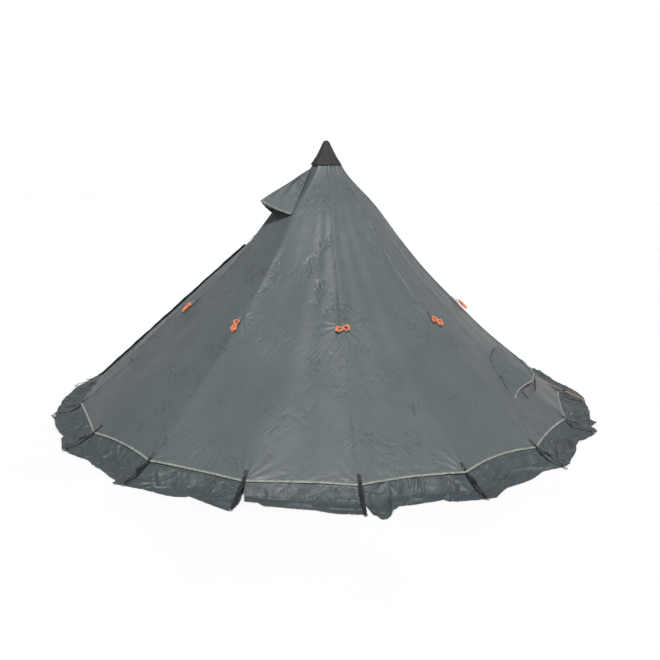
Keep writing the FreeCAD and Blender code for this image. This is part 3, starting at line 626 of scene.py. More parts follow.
def wrinkles(k, s, z):
    """Outward step of panel k's cloth from its smooth shape."""
    half = seam_radius(z) * math.sin(math.radians(SPAN / 2))
    across = s * half
    up = slope_up(z)
    left, right = (1 + s) * half, (1 - s) * half
    step = 0.0022 * waves(across * 1.3, up * 0.7, 0.70, 100 + k)
    patchy = np.clip(waves(across, up, 0.55, 140 + k, 8) - 0.25, 0, 1.1)
    crossed = folds(across, up, CRINKLES[k], 0.052, 200 + k, 8, 0.45)
    step -= 0.0034 * patchy * sharp(crossed, 0.60)
    step -= 0.0022 * patchy * sharp(waves(across, up, 0.13, 240 + k), 0.45)
    step += 0.0016 * folds(s, 0 * s, 0.0, 0.45, 300 + k, 5, 0.01) * band(z, 0.25, 1.6, 0.2)
    for panel, side, low, high, reach, depth, length, angle in PUCKERS:
        if panel != k:
            continue
        gap = right if side > 0 else left
        line = folds(across, up, angle, length, 400 + 10 * k + side + int(low * 20), 6, 0.26)
        strength = np.clip(0.35 + 0.9 * waves(across, up, 0.24, 450 + k + side, 6), 0, 1.5)
        step -= depth * sharp(line, 0.50) * strength * np.exp(-(gap / reach) ** 2) * band(z, low, high, 0.06)
    for side, gap in ((-1, left), (1, right)):
        line = folds(across, up, math.pi / 2 - 0.45 * side, 0.060, 500 + 3 * k + side, 6, 0.4)
        step -= 0.0016 * sharp(line, 0.7) * np.exp(-gap / 0.06)
        guy = side * seam_half(GUY_Z)
        step += 0.0060 * fan(across, up, guy, slope_up(GUY_Z), 11, 0.075, 600 + 2 * k + side)
    for corner in (-1, 0, 1):
        step += 0.0062 * fan(across, up, corner * seam_half(HEM_Z), 0.0, 13, 0.085, 700 + 3 * k + corner)
    t = np.where(s < 0, s + 1, s)
    rise = np.where(s < 0, HEM_RISE[2 * k], HEM_RISE[2 * k + 1]) / 0.012
    pulled = folds(across, up, math.pi / 2 + 0.12, 0.052, 800 + k, 6, 0.14)
    step -= 0.0080 * sharp(pulled, 0.5) * np.maximum(rise, 0.7) ** 0.5 * 4 * t * (1 - t) * np.exp(-up / 0.10)
    near = np.minimum(left, right)
    return step * (1 - np.exp(-(near / 0.016) ** 2))


def seam_half(z):
    return float(seam_radius(z)) * math.sin(math.radians(SPAN / 2))


def slope_up(z):
    """Length of cloth from the hem up to a height, at the mean slope of the wall."""
    return (z - HEM_Z) * math.sqrt(1 + ((HEM_R - TOP_R) / (CAP_Z - HEM_Z)) ** 2)


def outward_normals(points):
    n = normals_of(points)
    middle = points[points.shape[0] // 2, points.shape[1] // 2]
    if np.dot(n[points.shape[0] // 2, points.shape[1] // 2][:2], middle[:2]) < 0:
        n = -n
    return n


def panel_points(k, cols, rows, low=None, high=PANEL_TOP):
    """Cloth of panel k with its wrinkles, from the hem, or from a height, up to the cap."""
    s = np.linspace(-1, 1, cols)[None, :]
    v = np.linspace(0, 1, rows)[:, None]
    bottom = hem_height(k, s) if low is None else np.full(s.shape, low)
    z = bottom + (high - bottom) * v
    s = np.broadcast_to(s, z.shape)
    base = wall(k, s, z)
    return base + outward_normals(base) * wrinkles(k, s, z)[..., None], base


def cloth_uv(points):
    """Flat coordinates in metres: across from the middle column, and up along it."""
    u = lengths_along(points, 1)
    u = u - u[:, u.shape[1] // 2][:, None]
    v = lengths_along(points, 0)[:, points.shape[1] // 2][:, None]
    return np.stack([u, np.broadcast_to(v, u.shape)], axis=-1)


def area_of(points):
    """Area of a grid of points."""
    a = points[1:, :-1] - points[:-1, :-1]
    b = points[:-1, 1:] - points[:-1, :-1]
    c = points[1:, 1:] - points[1:, :-1]
    d = points[1:, 1:] - points[:-1, 1:]
    halves = np.linalg.norm(np.cross(a, b), axis=-1) + np.linalg.norm(np.cross(c, d), axis=-1)
    return float(halves.sum() / 2)


def flat_size(points):
    """Width, length and area that a cloth grid was cut to."""
    width = float(lengths_along(points, 1)[:, -1].max())
    length = float(lengths_along(points, 0)[-1].max())
    return (round(width, 3), round(length, 3)), round(min(area_of(points), width * length), 4)


def declare_sheet(obj, points, held, rests_on, **more):
    size, area = flat_size(points)


def cut_window(obj, azimuth, z_low, z_high, half_low, half_high):
    """Takes the cloth out of a window with sloping sides."""
    side = tangent(azimuth)
    out = outward(azimuth)
    mesh = bmesh.new()
    mesh.from_mesh(obj.data)
    gone = []
    for face in mesh.faces:
        c = np.array(face.calc_center_median())
        share = (c[2] - z_low) / (z_high - z_low)
        if 0 < share < 1 and c @ out > 0 and abs(c @ side) < half_low + (half_high - half_low) * share:
            gone.append(face)
    bmesh.ops.delete(mesh, geom=gone, context="FACES")
    mesh.to_mesh(obj.data)
    mesh.free()


UV_AZ = FIRST_SEAM + SPAN / 2
UPPER_WINDOW = (UV_AZ, 1.810, 2.010, 0.105, 0.020)
GV_AZ = 70.0
GROUND_WINDOW = (GV_AZ, 0.300, 0.530, 0.330, 0.190)
WINDOWS = {0: UPPER_WINDOW, 3: GROUND_WINDOW}

hem_edges = {}


def make_panels():
    for k in range(PANELS):
        if k == DOOR_PANEL:
            continue
        points, base = panel_points(k, COLS, ROWS)
        hem_edges[k] = points[0], points[1], outward_normals(base)[0]
        obj = grid("wall_cloth_%d" % (k + 1), points, cloth_uv(base))
        if k in WINDOWS:
            cut_window(obj, *WINDOWS[k])
        thicken(obj, CLOTH)
        fit_out(obj, WALL, "wall_fabric", ROOT, "wall_panel_%d" % (k + 1))
        declare_sheet(obj, base, "stretched", ["pole_plug"])


def wall_spot(k, s, z, lift=0.0, wrinkled=True):
    """Point and outward direction on panel k's cloth."""
    d = 0.004
    s = np.atleast_1d(np.asarray(s, float))
    z = np.atleast_1d(np.asarray(z, float))
    p = wall(k, s, z)
    n = np.cross(wall(k, s + d, z) - wall(k, s - d, z), wall(k, s, z + d) - wall(k, s, z - d))
    n /= np.linalg.norm(n, axis=-1, keepdims=True)
    n *= np.sign((n[:, :2] * p[:, :2]).sum(axis=-1))[:, None]
    step = wrinkles(k, s, z) if wrinkled else 0 * z
    return p + n * (step + lift)[:, None], n


def make_seams():
    """Felled seams: a narrow raised band of double cloth over each join, with two rows of stitching."""
    tape, thread = Batch(), Batch()
    for k in range(PANELS):
        z = np.linspace(HEM_Z + 0.005, PANEL_TOP, 150)
        az = seam_az(k)
        r = seam_radius(z)
        path = np.array([polar(az, a, b) for a, b in zip(r, z)])
        ahead = np.gradient(path, axis=0)
        out = np.cross(np.broadcast_to(tangent(az), path.shape), ahead)
        out /= np.linalg.norm(out, axis=1, keepdims=True)
        out *= np.sign((out[:, :2] * path[:, :2]).sum(axis=1))[:, None]
        tape.sweep(path + out * 0.0002, out, flat_profile(0.013, 0.0018))
        for side in (-0.0045, 0.0045):
            line = path + out * 0.0013 + tangent(az) * side
            thread.sweep(line, out, round_profile(0.0005, 5))
    obj = tape.build("seam_bands")
    fit_out(obj, SEAM, "wall_fabric", ROOT, "seam_tapes")
    fit_out(thread.build("seam_stitching"), SEAM, "wall_fabric", ROOT)


def make_binding():
    """Light tape folded over the hem, from the seam after the door round to the seam before it."""
    tape, thread = Batch(), Batch()
    for k in range(PANELS - 1):
        low, above, normal = hem_edges[k]
        up = above - low
        up /= np.linalg.norm(up, axis=1, keepdims=True)
        inner = slice(1, -1)
        centre = (low + up * 0.002 - normal * 0.0006)[inner]
        profile = [(a * 0.0085, o * 0.0042) for a, o in round_profile(1.0, 14)]
        tape.sweep(centre, normal[inner], profile)
        stitches = (low + up * 0.0075)[inner] + normal[inner] * 0.0022
        thread.sweep(stitches, normal[inner], round_profile(0.0005, 5))
    fit_out(tape.build("hem_tape"), GREY_TAPE, "binding", ROOT, "hem_binding")
    fit_out(thread.build("hem_stitching"), GREY_LOOP, "binding", ROOT)


# ---------------------------------------------------------------- peak cap
CAP_LINE = ((2.186, 0.1420), (2.196, 0.1385), (2.225, 0.1190), (2.265, 0.0920), (2.310, 0.0665),
            (2.350, 0.0450), (2.374, 0.0330), (2.390, 0.0225), (2.3970, 0.0095))
CAP_TOP_Z = 2.3985
CAP_LEAN = 0.006  # the cap sits pulled a little toward the door


def cap_point(az, z, r):
    """The cap is sewn from nine gores, slightly flat between the seams and creased where it is pulled."""
    a = (az - FIRST_SEAM) % SPAN / SPAN * 2 - 1
    flat = 1 - (1 - math.cos(math.radians(SPAN / 2))) * (1 - a * a) * 0.8
    pull = 0.0012 * math.sin(math.radians(az * 7) + z * 20) * min(1.0, (2.40 - z) / 0.1)
    return polar(az, r * flat + pull, z) - np.array([CAP_LEAN, 0, 0])


def make_cap():
    line = smooth_path([(r, 0, z) for z, r in CAP_LINE], 46)
    turns = 180
    points = np.array([[cap_point(FIRST_SEAM + 360 * j / turns, p[2], p[0]) for j in range(turns + 1)]
                       for p in line])
    closed = points[:, :-1]
    obj = grid("peak_cap_cloth", closed, cloth_uv(points)[:, :-1], closed=True)
    tip = bmesh.new()
    tip.from_mesh(obj.data)
    tip.verts.ensure_lookup_table()
    rim = [tip.verts[(len(line) - 1) * turns + j] for j in range(turns)]
    crown = tip.verts.new((-CAP_LEAN, 0, CAP_TOP_Z))
    for j in range(turns):
        tip.faces.new((rim[j], rim[(j + 1) % turns], crown)).smooth = True
    bmesh.ops.recalc_face_normals(tip, faces=tip.faces)
    tip.to_mesh(obj.data)
    tip.free()
    thicken(obj, 0.0020)
    fit_out(obj, CAP, "cap_fabric", ROOT, "top_cap")
    declare_sheet(obj, points, "stretched", ["pole_plug"])
    trim, thread = Batch(), Batch()
    for k in (2, 5, 8):
        az = seam_az(k)
        path = np.array([cap_point(az, p[2], p[0]) for p in line])
        trim.sweep(path + outward(az) * 0.0006, outward(az), flat_profile(0.009, 0.0024))
    for row in (0, 3):
        ring = points[row, :-1] * np.array([1.004, 1.004, 1.0])
        out = ring * np.array([1, 1, 0])
        out = out / np.linalg.norm(out, axis=1, keepdims=True)
        thread.sweep(ring + out * 0.0004, out, round_profile(0.0006, 5), closed=True)
    edge = points[0, :-1]
    out = edge * np.array([1, 1, 0.0])
    out /= np.linalg.norm(out, axis=1, keepdims=True)
    trim.sweep(edge - out * 0.0008, out, round_profile(0.0014, 8), closed=True)
    fit_out(trim.build("peak_cap_seams"), CAP, "cap_fabric", ROOT)
    fit_out(thread.build("peak_cap_stitching"), BLACK_CORD, "cap_fabric", ROOT)


# ---------------------------------------------------------------- skirt
GROUND_LIFT = 0.0022
SKIRT_IN = 0.0105
SKIRT_DROP = 0.0135  # how far under the hem the skirt starts
# Outline of the skirt's free edge: (azimuth in degrees, radius)
SKIRT_REACH = (
    (-93.7, 2.463), (-82.9, 2.492), (-79.6, 2.473), (-78.2, 2.530), (-74.3, 2.506), (-71.0, 2.467),
    (-63.3, 2.440), (-60.9, 2.424), (-59.2, 2.456), (-54.8, 2.494), (-52.5, 2.481), (-47.1, 2.417),
    (-41.5, 2.432), (-36.4, 2.467), (-35.4, 2.523), (-33.2, 2.482), (-30.3, 2.454), (-23.9, 2.447),
    (-21.7, 2.406), (-19.1, 2.430), (-15.8, 2.470), (-13.9, 2.500), (-13.1, 2.352), (-10.2, 2.349),
    (-9.3, 2.390), (-6.7, 2.389), (-1.2, 2.403), (2.2, 2.453), (5.1, 2.481), (5.6, 2.470), (7.7, 2.485),
    (8.1, 2.500), (8.6, 2.545), (9.3, 2.545), (11.1, 2.438), (12.0, 2.393), (14.7, 2.392), (17.4, 2.385),
    (19.6, 2.383), (20.5, 2.416), (26.2, 2.479), (28.0, 2.493), (29.4, 2.463), (32.4, 2.422), (38.4, 2.423),
    (42.4, 2.396), (44.0, 2.428), (48.4, 2.476), (50.7, 2.457), (58.5, 2.399), (60.5, 2.396), (64.7, 2.477),
    (67.9, 2.509), (69.7, 2.457), (73.2, 2.514), (74.3, 2.465), (84.9, 2.500), (89.3, 2.540), (96.6, 2.526),
    (101.7, 2.486), (110.5, 2.540), (118.0, 2.470), (127.0, 2.510), (138.0, 2.430), (147.0, 2.520),
    (158.0, 2.450), (166.0, 2.520), (179.0, 2.440), (187.0, 2.510), (199.0, 2.450), (207.0, 2.530),
    (219.0, 2.430), (227.0, 2.500), (239.0, 2.450), (246.0, 2.520), (257.0, 2.440), (266.3, 2.463),
)
SKIRT_AZ = [a for a, r in SKIRT_REACH]
SKIRT_R = [r for a, r in SKIRT_REACH]
# Slack of a skirt corner from its pegging strap: (section, end) to the gap at the hem and at the ground
SKIRT_GAPS = {(3, -1): (0.004, 0.034), (4, -1): (0.002, 0.046), (0, -1): (0.0, 0.016), (9, 1): (0.0, 0.030)}
# Folds of the skirt: (depth, length)
SKIRT_FOLDS = ((0.026, 0.42), (0.024, 0.30), (0.020, 0.26), (0.015, 0.18), (0.012, 0.15), (0.008, 0.10))
SKIRT_OVERLAP = (-0.010, -0.014)  # gap at the hem and at the ground where two sections overlap


def hem_spot(k, t):
    """Point of the hem between pegs k and k + 1, t from 0 to 1, with its rise."""
    panel, half = divmod(k, 2)
    if panel == DOOR_PANEL:
        a = polar(peg_az(k), HEM_R, HEM_Z)
        b = polar(peg_az(k + 1), HEM_R, HEM_Z)
        return a + (b - a) * t
    s = -1 + t if half == 0 else t
    return wall(panel, s, float(hem_height(panel, s)))


def skirt_points(k, cols=110, rows=70):
    r = np.random.default_rng(900 + k)
    edge_noise = [(r.uniform(0.8, 3.6), r.uniform(0, 6.3), r.uniform(0.0005, 0.0022)) for _ in range(7)]
    before = SKIRT_GAPS.get((k, -1), SKIRT_OVERLAP)
    after = SKIRT_GAPS.get((k, 1), SKIRT_OVERLAP)
    span = 2 * HEM_R * math.sin(math.radians(SPAN / 4))
    grid_points = np.zeros((rows, cols, 3))
    for j in range(cols):
        u = j / (cols - 1)
        far = sum(a * math.sin(2 * math.pi * f * u + p) for f, p, a in edge_noise)
        corner = abs(2 * u - 1) ** 6
        for i in range(rows):
            v = i / (rows - 1)
            gap_a = before[0] + (before[1] - before[0]) * v
            gap_b = after[0] + (after[1] - after[0]) * v
            t = (gap_a + (span - gap_a - gap_b) * u) / span
            hem = hem_spot(k, min(max(t, 0.0), 1.0))
            az = peg_az(k) + SPAN / 2 * t
            reach = float(np.interp(az, SKIRT_AZ, SKIRT_R)) + far * (1 - corner)
            top = hem + np.array([0, 0, -SKIRT_DROP])
            top[:2] -= outward(az)[:2] * SKIRT_IN
            end = polar(az, reach, GROUND_LIFT)
            spread = v ** 0.92
            p = top + (end - top) * spread
            fall = max(0.0, 1 - v / 0.46)
            p[2] = GROUND_LIFT + (top[2] - GROUND_LIFT) * fall ** 1.35
            grid_points[i, j] = p
    x = lengths_along(grid_points, 1)
    y = lengths_along(grid_points, 0)
    v = np.linspace(0, 1, rows)[:, None]
    u = np.linspace(0, 1, cols)[None, :]
    away = (1 - np.abs(2 * u - 1) ** 8)
    hold = np.clip(v / 0.10, 0, 1)
    pick = np.random.default_rng(1100 + k)
    rough = 0.0012 * waves(x, y, 0.06, 980 + k, 10) + 0.0014
    for depth, length in SKIRT_FOLDS:
        way = pick.uniform(0, math.pi)
        seed = int(pick.integers(1, 9999))
        where = np.clip(0.25 + waves(x, y, 0.40, seed + 1, 6), 0, 1)
        rough += depth * sharp(folds(x, y, way, length, seed, 4, 0.16), 0.38) * where
    if k == 4:
        rough += 0.040 * np.exp(-((u - 0.215 + 0.05 * v) / 0.035) ** 2) * hold
    rough = rough * hold * (0.25 + 0.75 * away) * (1 - 0.45 * np.clip((v - 0.86) / 0.14, 0, 1))
    grid_points[..., 2] += np.maximum(rough, 0)
    sway = 0.010 * waves(x, y, 0.16, 1000 + k, 8) * hold * away * (1 - np.clip((v - 0.9) / 0.1, 0, 1) * 0.4)
    turned = np.array([tangent(peg_az(k) + SPAN / 4)])
    grid_points += sway[..., None] * turned
    hem_fold = 0.010 * waves(x, y * 0.3, 0.15, 1020 + k, 8) * np.clip(v / 0.12, 0, 1) * np.clip(1 - v, 0, 1)
    grid_points += np.clip(hem_fold, -0.006, 0.016)[..., None] * np.array([outward(peg_az(k) + SPAN / 4)])
    grid_points[..., 2] = np.maximum(grid_points[..., 2], GROUND_LIFT)
    return grid_points


def make_skirt():
    edge = Batch()
    for k in range(PEGS):
        points = skirt_points(k)
        if k % 2:
            points[..., 2] += 0.0022
        obj = grid("skirt_cloth_%02d" % (k + 1), points[::-1], cloth_uv(points)[::-1])
        thicken(obj, 0.0011)
        fit_out(obj, SKIRT, "skirt_fabric", ROOT, "storm_skirt_%d" % (k // 2 + 1))
        declare_sheet(obj, points, "hung", ["hem_tape" if k // 2 != DOOR_PANEL else "door_sill_tape"])
        hem = points[-1, 1:-1] + np.array([0, 0, 0.0002])
        edge.sweep(hem, np.array([0.0, 0.0, 1.0]), flat_profile(0.009, 0.0024))
    fit_out(edge.build("skirt_edge_hems"), SKIRT, "skirt_fabric", ROOT)


# ---------------------------------------------------------------- pegging straps
STRAP_LEN = math.hypot(PEG_R - HEM_R, HEM_Z - 0.014)
BUCKLE_AT = 0.046
WEB_W, WEB_T = 0.025, 0.0016
# Corners of the stitched box and its diagonal: (up the wall, across)
STITCH_BOX = ((0.020, -0.009), (0.072, -0.009), (0.072, 0.009), (0.020, 0.009), (0.020, -0.009),
              (0.072, 0.009))


def down_strap(along, lift=0.0):
    d_r, d_z = (PEG_R - HEM_R) / STRAP_LEN, -(HEM_Z - 0.014) / STRAP_LEN
    return HEM_R + 0.004 + d_r * along - d_z * lift, HEM_Z + d_z * along + d_r * lift


def slope_line(az, pairs, count=24, sway=0.0):
    """A path in the upright plane at an azimuth, from (radius, height) pairs, with a sideways sway."""
    p = smooth_path([(r, 0, z) for r, z in pairs], count)
    t = np.linspace(0, 1, count)
    return np.array([polar(az, a[0], a[2]) + tangent(az) * sway * math.sin(math.pi * b)
                     for a, b in zip(p, t)])


def make_straps():
    r = np.random.default_rng(31)
    upper, lower, thread = Batch(), Batch(), Batch()
    u_r = SEAM_LINE[1][1] - HEM_R
    u_z = SEAM_LINE[1][0] - HEM_Z
    size = math.hypot(u_r, u_z)
    u_r, u_z = u_r / size, u_z / size
    for k in range(PEGS):
        az = peg_az(k)
        side = tangent(az)

        def at_wall(along, lift):
            return HEM_R + u_r * along + u_z * lift, HEM_Z + u_z * along - u_r * lift

        tail = [down_strap(0.016, 0.0035), down_strap(BUCKLE_AT - 0.004, 0.0045),
                down_strap(BUCKLE_AT + 0.003, 0.0068), down_strap(BUCKLE_AT + 0.0075, 0.0005)]
        head = []
        if k != 2 * DOOR_PANEL + 1:
            head = [at_wall(0.078, 0.0040), at_wall(0.040, 0.0042), at_wall(0.012, 0.0062),
                    at_wall(-0.004, 0.0062)]
        path = slope_line(az, head + tail, 34)
        upper.sweep(path, side_normals(path, side), flat_profile(WEB_W + 0.003, WEB_T))
        if head:
            box = [polar(az, *at_wall(along, 0.0052)) + side * across for along, across in STITCH_BOX]
            for a, b in zip(box, box[1:]):
                thread.sweep(np.linspace(a, b, 8), polar(az, u_z, -u_r), round_profile(0.0006, 5))
        sag = r.uniform(0.002, 0.007)
        sway = r.uniform(-0.006, 0.006)
        run = [down_strap(BUCKLE_AT + 0.0205, 0.0003), down_strap(BUCKLE_AT + 0.029, 0.0108),
               down_strap(BUCKLE_AT + 0.040, 0.0050), down_strap(0.150, 0.004 - sag),
               down_strap(0.205, 0.0015), down_strap(STRAP_LEN - 0.0215, 0.0012)]
        path = slope_line(az, run, 40, sway)
        lower.sweep(path, side_normals(path, side), flat_profile(WEB_W - 0.003, WEB_T))
        tail = [down_strap(BUCKLE_AT + 0.024, 0.0075), down_strap(BUCKLE_AT + 0.033, 0.0135),
                down_strap(BUCKLE_AT + 0.055, 0.0120 + r.uniform(0, 0.006)),
                down_strap(BUCKLE_AT + 0.080, 0.0110 + r.uniform(0, 0.010))]
        path = slope_line(az, tail, 22, r.uniform(-0.008, 0.008))
        lower.sweep(path, side_normals(path, side), flat_profile(WEB_W - 0.003, WEB_T))
        keeper = [(PEG_R - 0.036, 0.0245), (PEG_R - 0.018, 0.0175), (PEG_R - 0.0115, 0.0128),
                  (PEG_R - 0.0058, 0.0085), (PEG_R - 0.0105, 0.0042), (PEG_R - 0.019, 0.0080),
                  (PEG_R - 0.034, 0.0200)]
        path = slope_line(az, keeper, 26)
        lower.sweep(path, side_normals(path, side), flat_profile(0.007, 0.0012))
    fit_out(upper.build("corner_straps"), BLACK_WEB, "webbing", ROOT, "corner_webbing")
    fit_out(lower.build("pegging_straps"), BLACK_WEB, "webbing", ROOT, "peg_straps")
    fit_out(thread.build("corner_strap_stitching"), GREY_LOOP, "webbing", ROOT)


def side_normals(path, side):
    """Out directions of a strap that bends only in its own upright plane."""
    ahead = np.gradient(path, axis=0)
    out = np.cross(np.broadcast_to(side, path.shape), ahead)
    return out / np.linalg.norm(out, axis=1, keepdims=True)


# ---------------------------------------------------------------- guylines
CORD_D = 0.004
GUY_R = float(np.interp(GUY_Z, LINE_Z, LINE_R))
HANK_W, HANK_L = 0.046, 0.112
HANK_OFF = 0.025
LEAD_DOWN = 0.026
HANK_TURNS = (-4.0, 8.0, -80.0, 50.0, 3.0, -62.0, 12.0, 84.0, -18.0)
LONG_TAILS = (1, 3, 6)  # hanks whose last loop hangs further out


def hank_frame(k):
    """Middle of a hank with the directions along, across and off the wall."""
    az = seam_az(k)
    (z0, r0), (z1, r1) = SEAM_LINE[2:4]
    size = math.hypot(r1 - r0, z1 - z0)
    d_r, d_z = (r0 - r1) / size, (z0 - z1) / size
    down = polar(az, d_r, d_z)
    out = polar(az, -d_z, d_r)
    side = tangent(az)
    turn = math.radians(HANK_TURNS[k])
    middle_down = LEAD_DOWN + math.hypot(HANK_L / 2 * math.cos(turn), HANK_W / 2 * math.sin(turn))
    middle = polar(az, GUY_R, GUY_Z) + down * middle_down + out * HANK_OFF
    along = down * math.cos(turn) + side * math.sin(turn)
    across = side * math.cos(turn) - down * math.sin(turn)
    exit_point = polar(az, GUY_R + 0.0305, GUY_Z + 0.004)
    return middle, along, across, out, exit_point


def nurbs_cord(name, points, diameter):
    curve = bpy.data.curves.new(name, "CURVE")
    curve.dimensions = "3D"
    curve.bevel_depth = diameter / 2
    curve.bevel_resolution = 3
    curve.resolution_u = 5
    curve.use_fill_caps = True
    line = curve.splines.new("NURBS")
    line.points.add(len(points) - 1)
    for spot, p in zip(line.points, points):
        spot.co = (*p, 1.0)
    line.order_u = 3
    line.use_endpoint_u = True
    obj = bpy.data.objects.new(name, curve)
    scene.collection.objects.link(obj)
    return obj


def hank_route(k):
    """Cord from the guy loop into a figure of eight, wrapped round its waist, with a loop left over."""
    middle, along, across, out, start = hank_frame(k)
    r = np.random.default_rng(60 + k)
    turns, per_turn = 9, 12
    route = [start]

    def at(a, c, o):
        return middle + along * a + across * c + out * o

    entry = at(0.0, -0.004, 0.0135)
    route.append(start + (entry - start) * 0.35 + out * 0.006)
    route.append(start + (entry - start) * 0.75 + out * 0.004)
    for i in range(turns):
        share = i / (turns - 1)
        size = 0.88 + 0.26 * r.random()
        wide = 0.85 + 0.40 * r.random()
        tip_a, tip_b = r.uniform(-0.004, 0.003), r.uniform(-0.003, 0.004)
        off = 0.0105 - 0.019 * share
        for j in range(per_turn):
            t = 2 * math.pi * j / per_turn + math.pi / 2
            lobe = math.cos(t)
            a = 0.050 * size * lobe + (tip_a if lobe > 0 else tip_b)
            c = 0.0255 * wide * math.sin(2 * t) * (0.75 + 0.25 * abs(lobe))
            o = off * (1 - 0.25 * abs(lobe)) + 0.0024 * math.sin(t) + r.uniform(-0.0008, 0.0008)
            route.append(at(a, c, o))
    wraps, per_wrap = 3, 8
    for j in range(wraps * per_wrap):
        t = 2 * math.pi * j / per_wrap
        a = -0.0065 + 0.0130 * j / (wraps * per_wrap - 1)
        route.append(at(a, 0.0125 * math.cos(t), 0.0145 * math.sin(t) + 0.0005))
    tail = ((0.018, 0.0130, 0.0100), (0.036, 0.0120, 0.0040), (0.052, 0.0090, -0.0010),
            (0.062, 0.0020, -0.0020), (0.060, -0.0070, -0.0010), (0.048, -0.0100, 0.0030),
            (0.034, -0.0080, 0.0090))
    if k in LONG_TAILS:
        tail = tuple((a * 1.12 if a > 0.05 else a, c, o) for a, c, o in tail)
    for a, c, o in tail:
        route.append(at(a, c, o))
    return route


def make_guylines():
    for k in range(PANELS):
        obj = nurbs_cord("guyline_%d" % (k + 1), hank_route(k), CORD_D)
        fit_out(obj, ORANGE, "orange_cord", ROOT, "guyline_hanks", "guyline_leads")


# Doubled cord of the ground vent: from the hood's peak to the peg ring, round it and back to the runner
VENT_PEAK = np.array([1.8682, -0.6800, 0.3900])
VENT_PEG = np.array([2.5078, -0.1622, 0.0200])
VENT_BEND = 0.009


def make_vent_cord():
    line = VENT_PEG - VENT_PEAK
    length = np.linalg.norm(line)
    ahead = line / length
    side = unit(np.cross(ahead, (0, 0, 1.0)))
    bend = VENT_PEAK + ahead * (length - VENT_BEND)
    straight = 0.024  # six diameters before the bend
    points = [
        VENT_PEAK,
        bend - ahead * straight,
        bend + ahead * VENT_BEND,
        bend + ahead * VENT_BEND + side * 2 * VENT_BEND,
        bend - ahead * straight + side * 2 * VENT_BEND,
        bend - ahead * length * 0.48 + side * 2 * VENT_BEND,
    ]
    obj = nurbs_cord("vent_guyline", points, CORD_D)
    fit_out(obj, ORANGE, "orange_cord", ROOT, "vent_guy_cord")


# ---------------------------------------------------------------- upper vent
UV_TOP_Z, UV_LOW_Z = 2.152, 1.765
UV_TIP = polar(UV_AZ, 0.700, 1.880)
UV_LIFT = 0.014
UV_TOP_LIFT = 0.014


def flat_wall(k, s, z):
    """Point of panel k on the straight lines between its seams and its middle."""
    r = float(np.interp(z, LINE_Z, LINE_R))
    a = polar(seam_az(k), r, z)
    m = polar(seam_az(k) + SPAN / 2, r * float(crease_share(z)), z)
    b = polar(seam_az(k) + SPAN, r, z)
    return a + (m - a) * (s + 1) if s < 0 else m + (b - m) * s


def upper_hood_point(t, v):
    """t from -1 at the far corner over 0 at the tip to 1 at the near one, v from 0 (lip) to 1 (top)."""
    out = outward(UV_AZ)
    top = flat_wall(0, -0.6, UV_TOP_Z) + out * UV_TOP_LIFT + tangent(UV_AZ) * 0.004 * t
    corner = flat_wall(0, 0.92 if t > 0 else -0.92, UV_LOW_Z) + out * UV_LIFT
    share = abs(t)
    lip = UV_TIP + (corner - UV_TIP) * share
    lip = lip + np.array([0, 0, -1.0]) * 0.010 * 4 * share * (1 - share)
    p = lip + (top - lip) * v
    hollow = 0.016 * 4 * share * (1 - share) * 4 * v * (1 - v)
    face = unit(np.cross(top - UV_TIP, corner - UV_TIP))
    if face @ out < 0:
        face = -face
    crease = 0.0036 * math.sin(17 * share + 9 * v + t) * 4 * v * (1 - v) * (1 - share)
    crease += 0.0030 * max(0.0, math.sin(11 * share - 4 * v)) ** 4 * v
    return p - face * (hollow - crease)


def make_upper_vent():
    points = sampled(upper_hood_point, 61, 36)
    axis = unit(flat_wall(0, 0.0, UV_TOP_Z) - flat_wall(0, 0.0, UV_LOW_Z))
    axis = unit(np.cross(tangent(UV_AZ), axis))
    if axis @ outward(UV_AZ) < 0:
        axis = -axis
    hood = grid("upper_hood_cloth", points, cloth_uv(points))
    thicken(hood, CLOTH)
    fit_out(hood, LINING, "wall_fabric", ROOT, "upper_vent_hood")
    declare_sheet(hood, points, "stretched", ["upper_vent_strut"])
    piping, thread = Batch(), Batch()
    lip = points[0, 1:-1]
    piping.sweep(lip - np.array([0, 0, 0.0028]), outward(UV_AZ), round_profile(0.0042, 10))
    for end in (0, -1):
        edge = points[:-1, end]
        thread.sweep(edge, axis, round_profile(0.0030, 8))
    trims = [piping.build("upper_hood_piping"), thread.build("upper_hood_side_seams")]
    fit_out(trims[0], GREY_TAPE, "binding", ROOT, "vent_piping")
    fit_out(trims[1], SEAM, "wall_fabric", ROOT)
    for piece in (hood, *trims):
        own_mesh(piece)
    make_window_mesh("upper_vent_netting", 0, UPPER_WINDOW, "upper_vent_mesh")


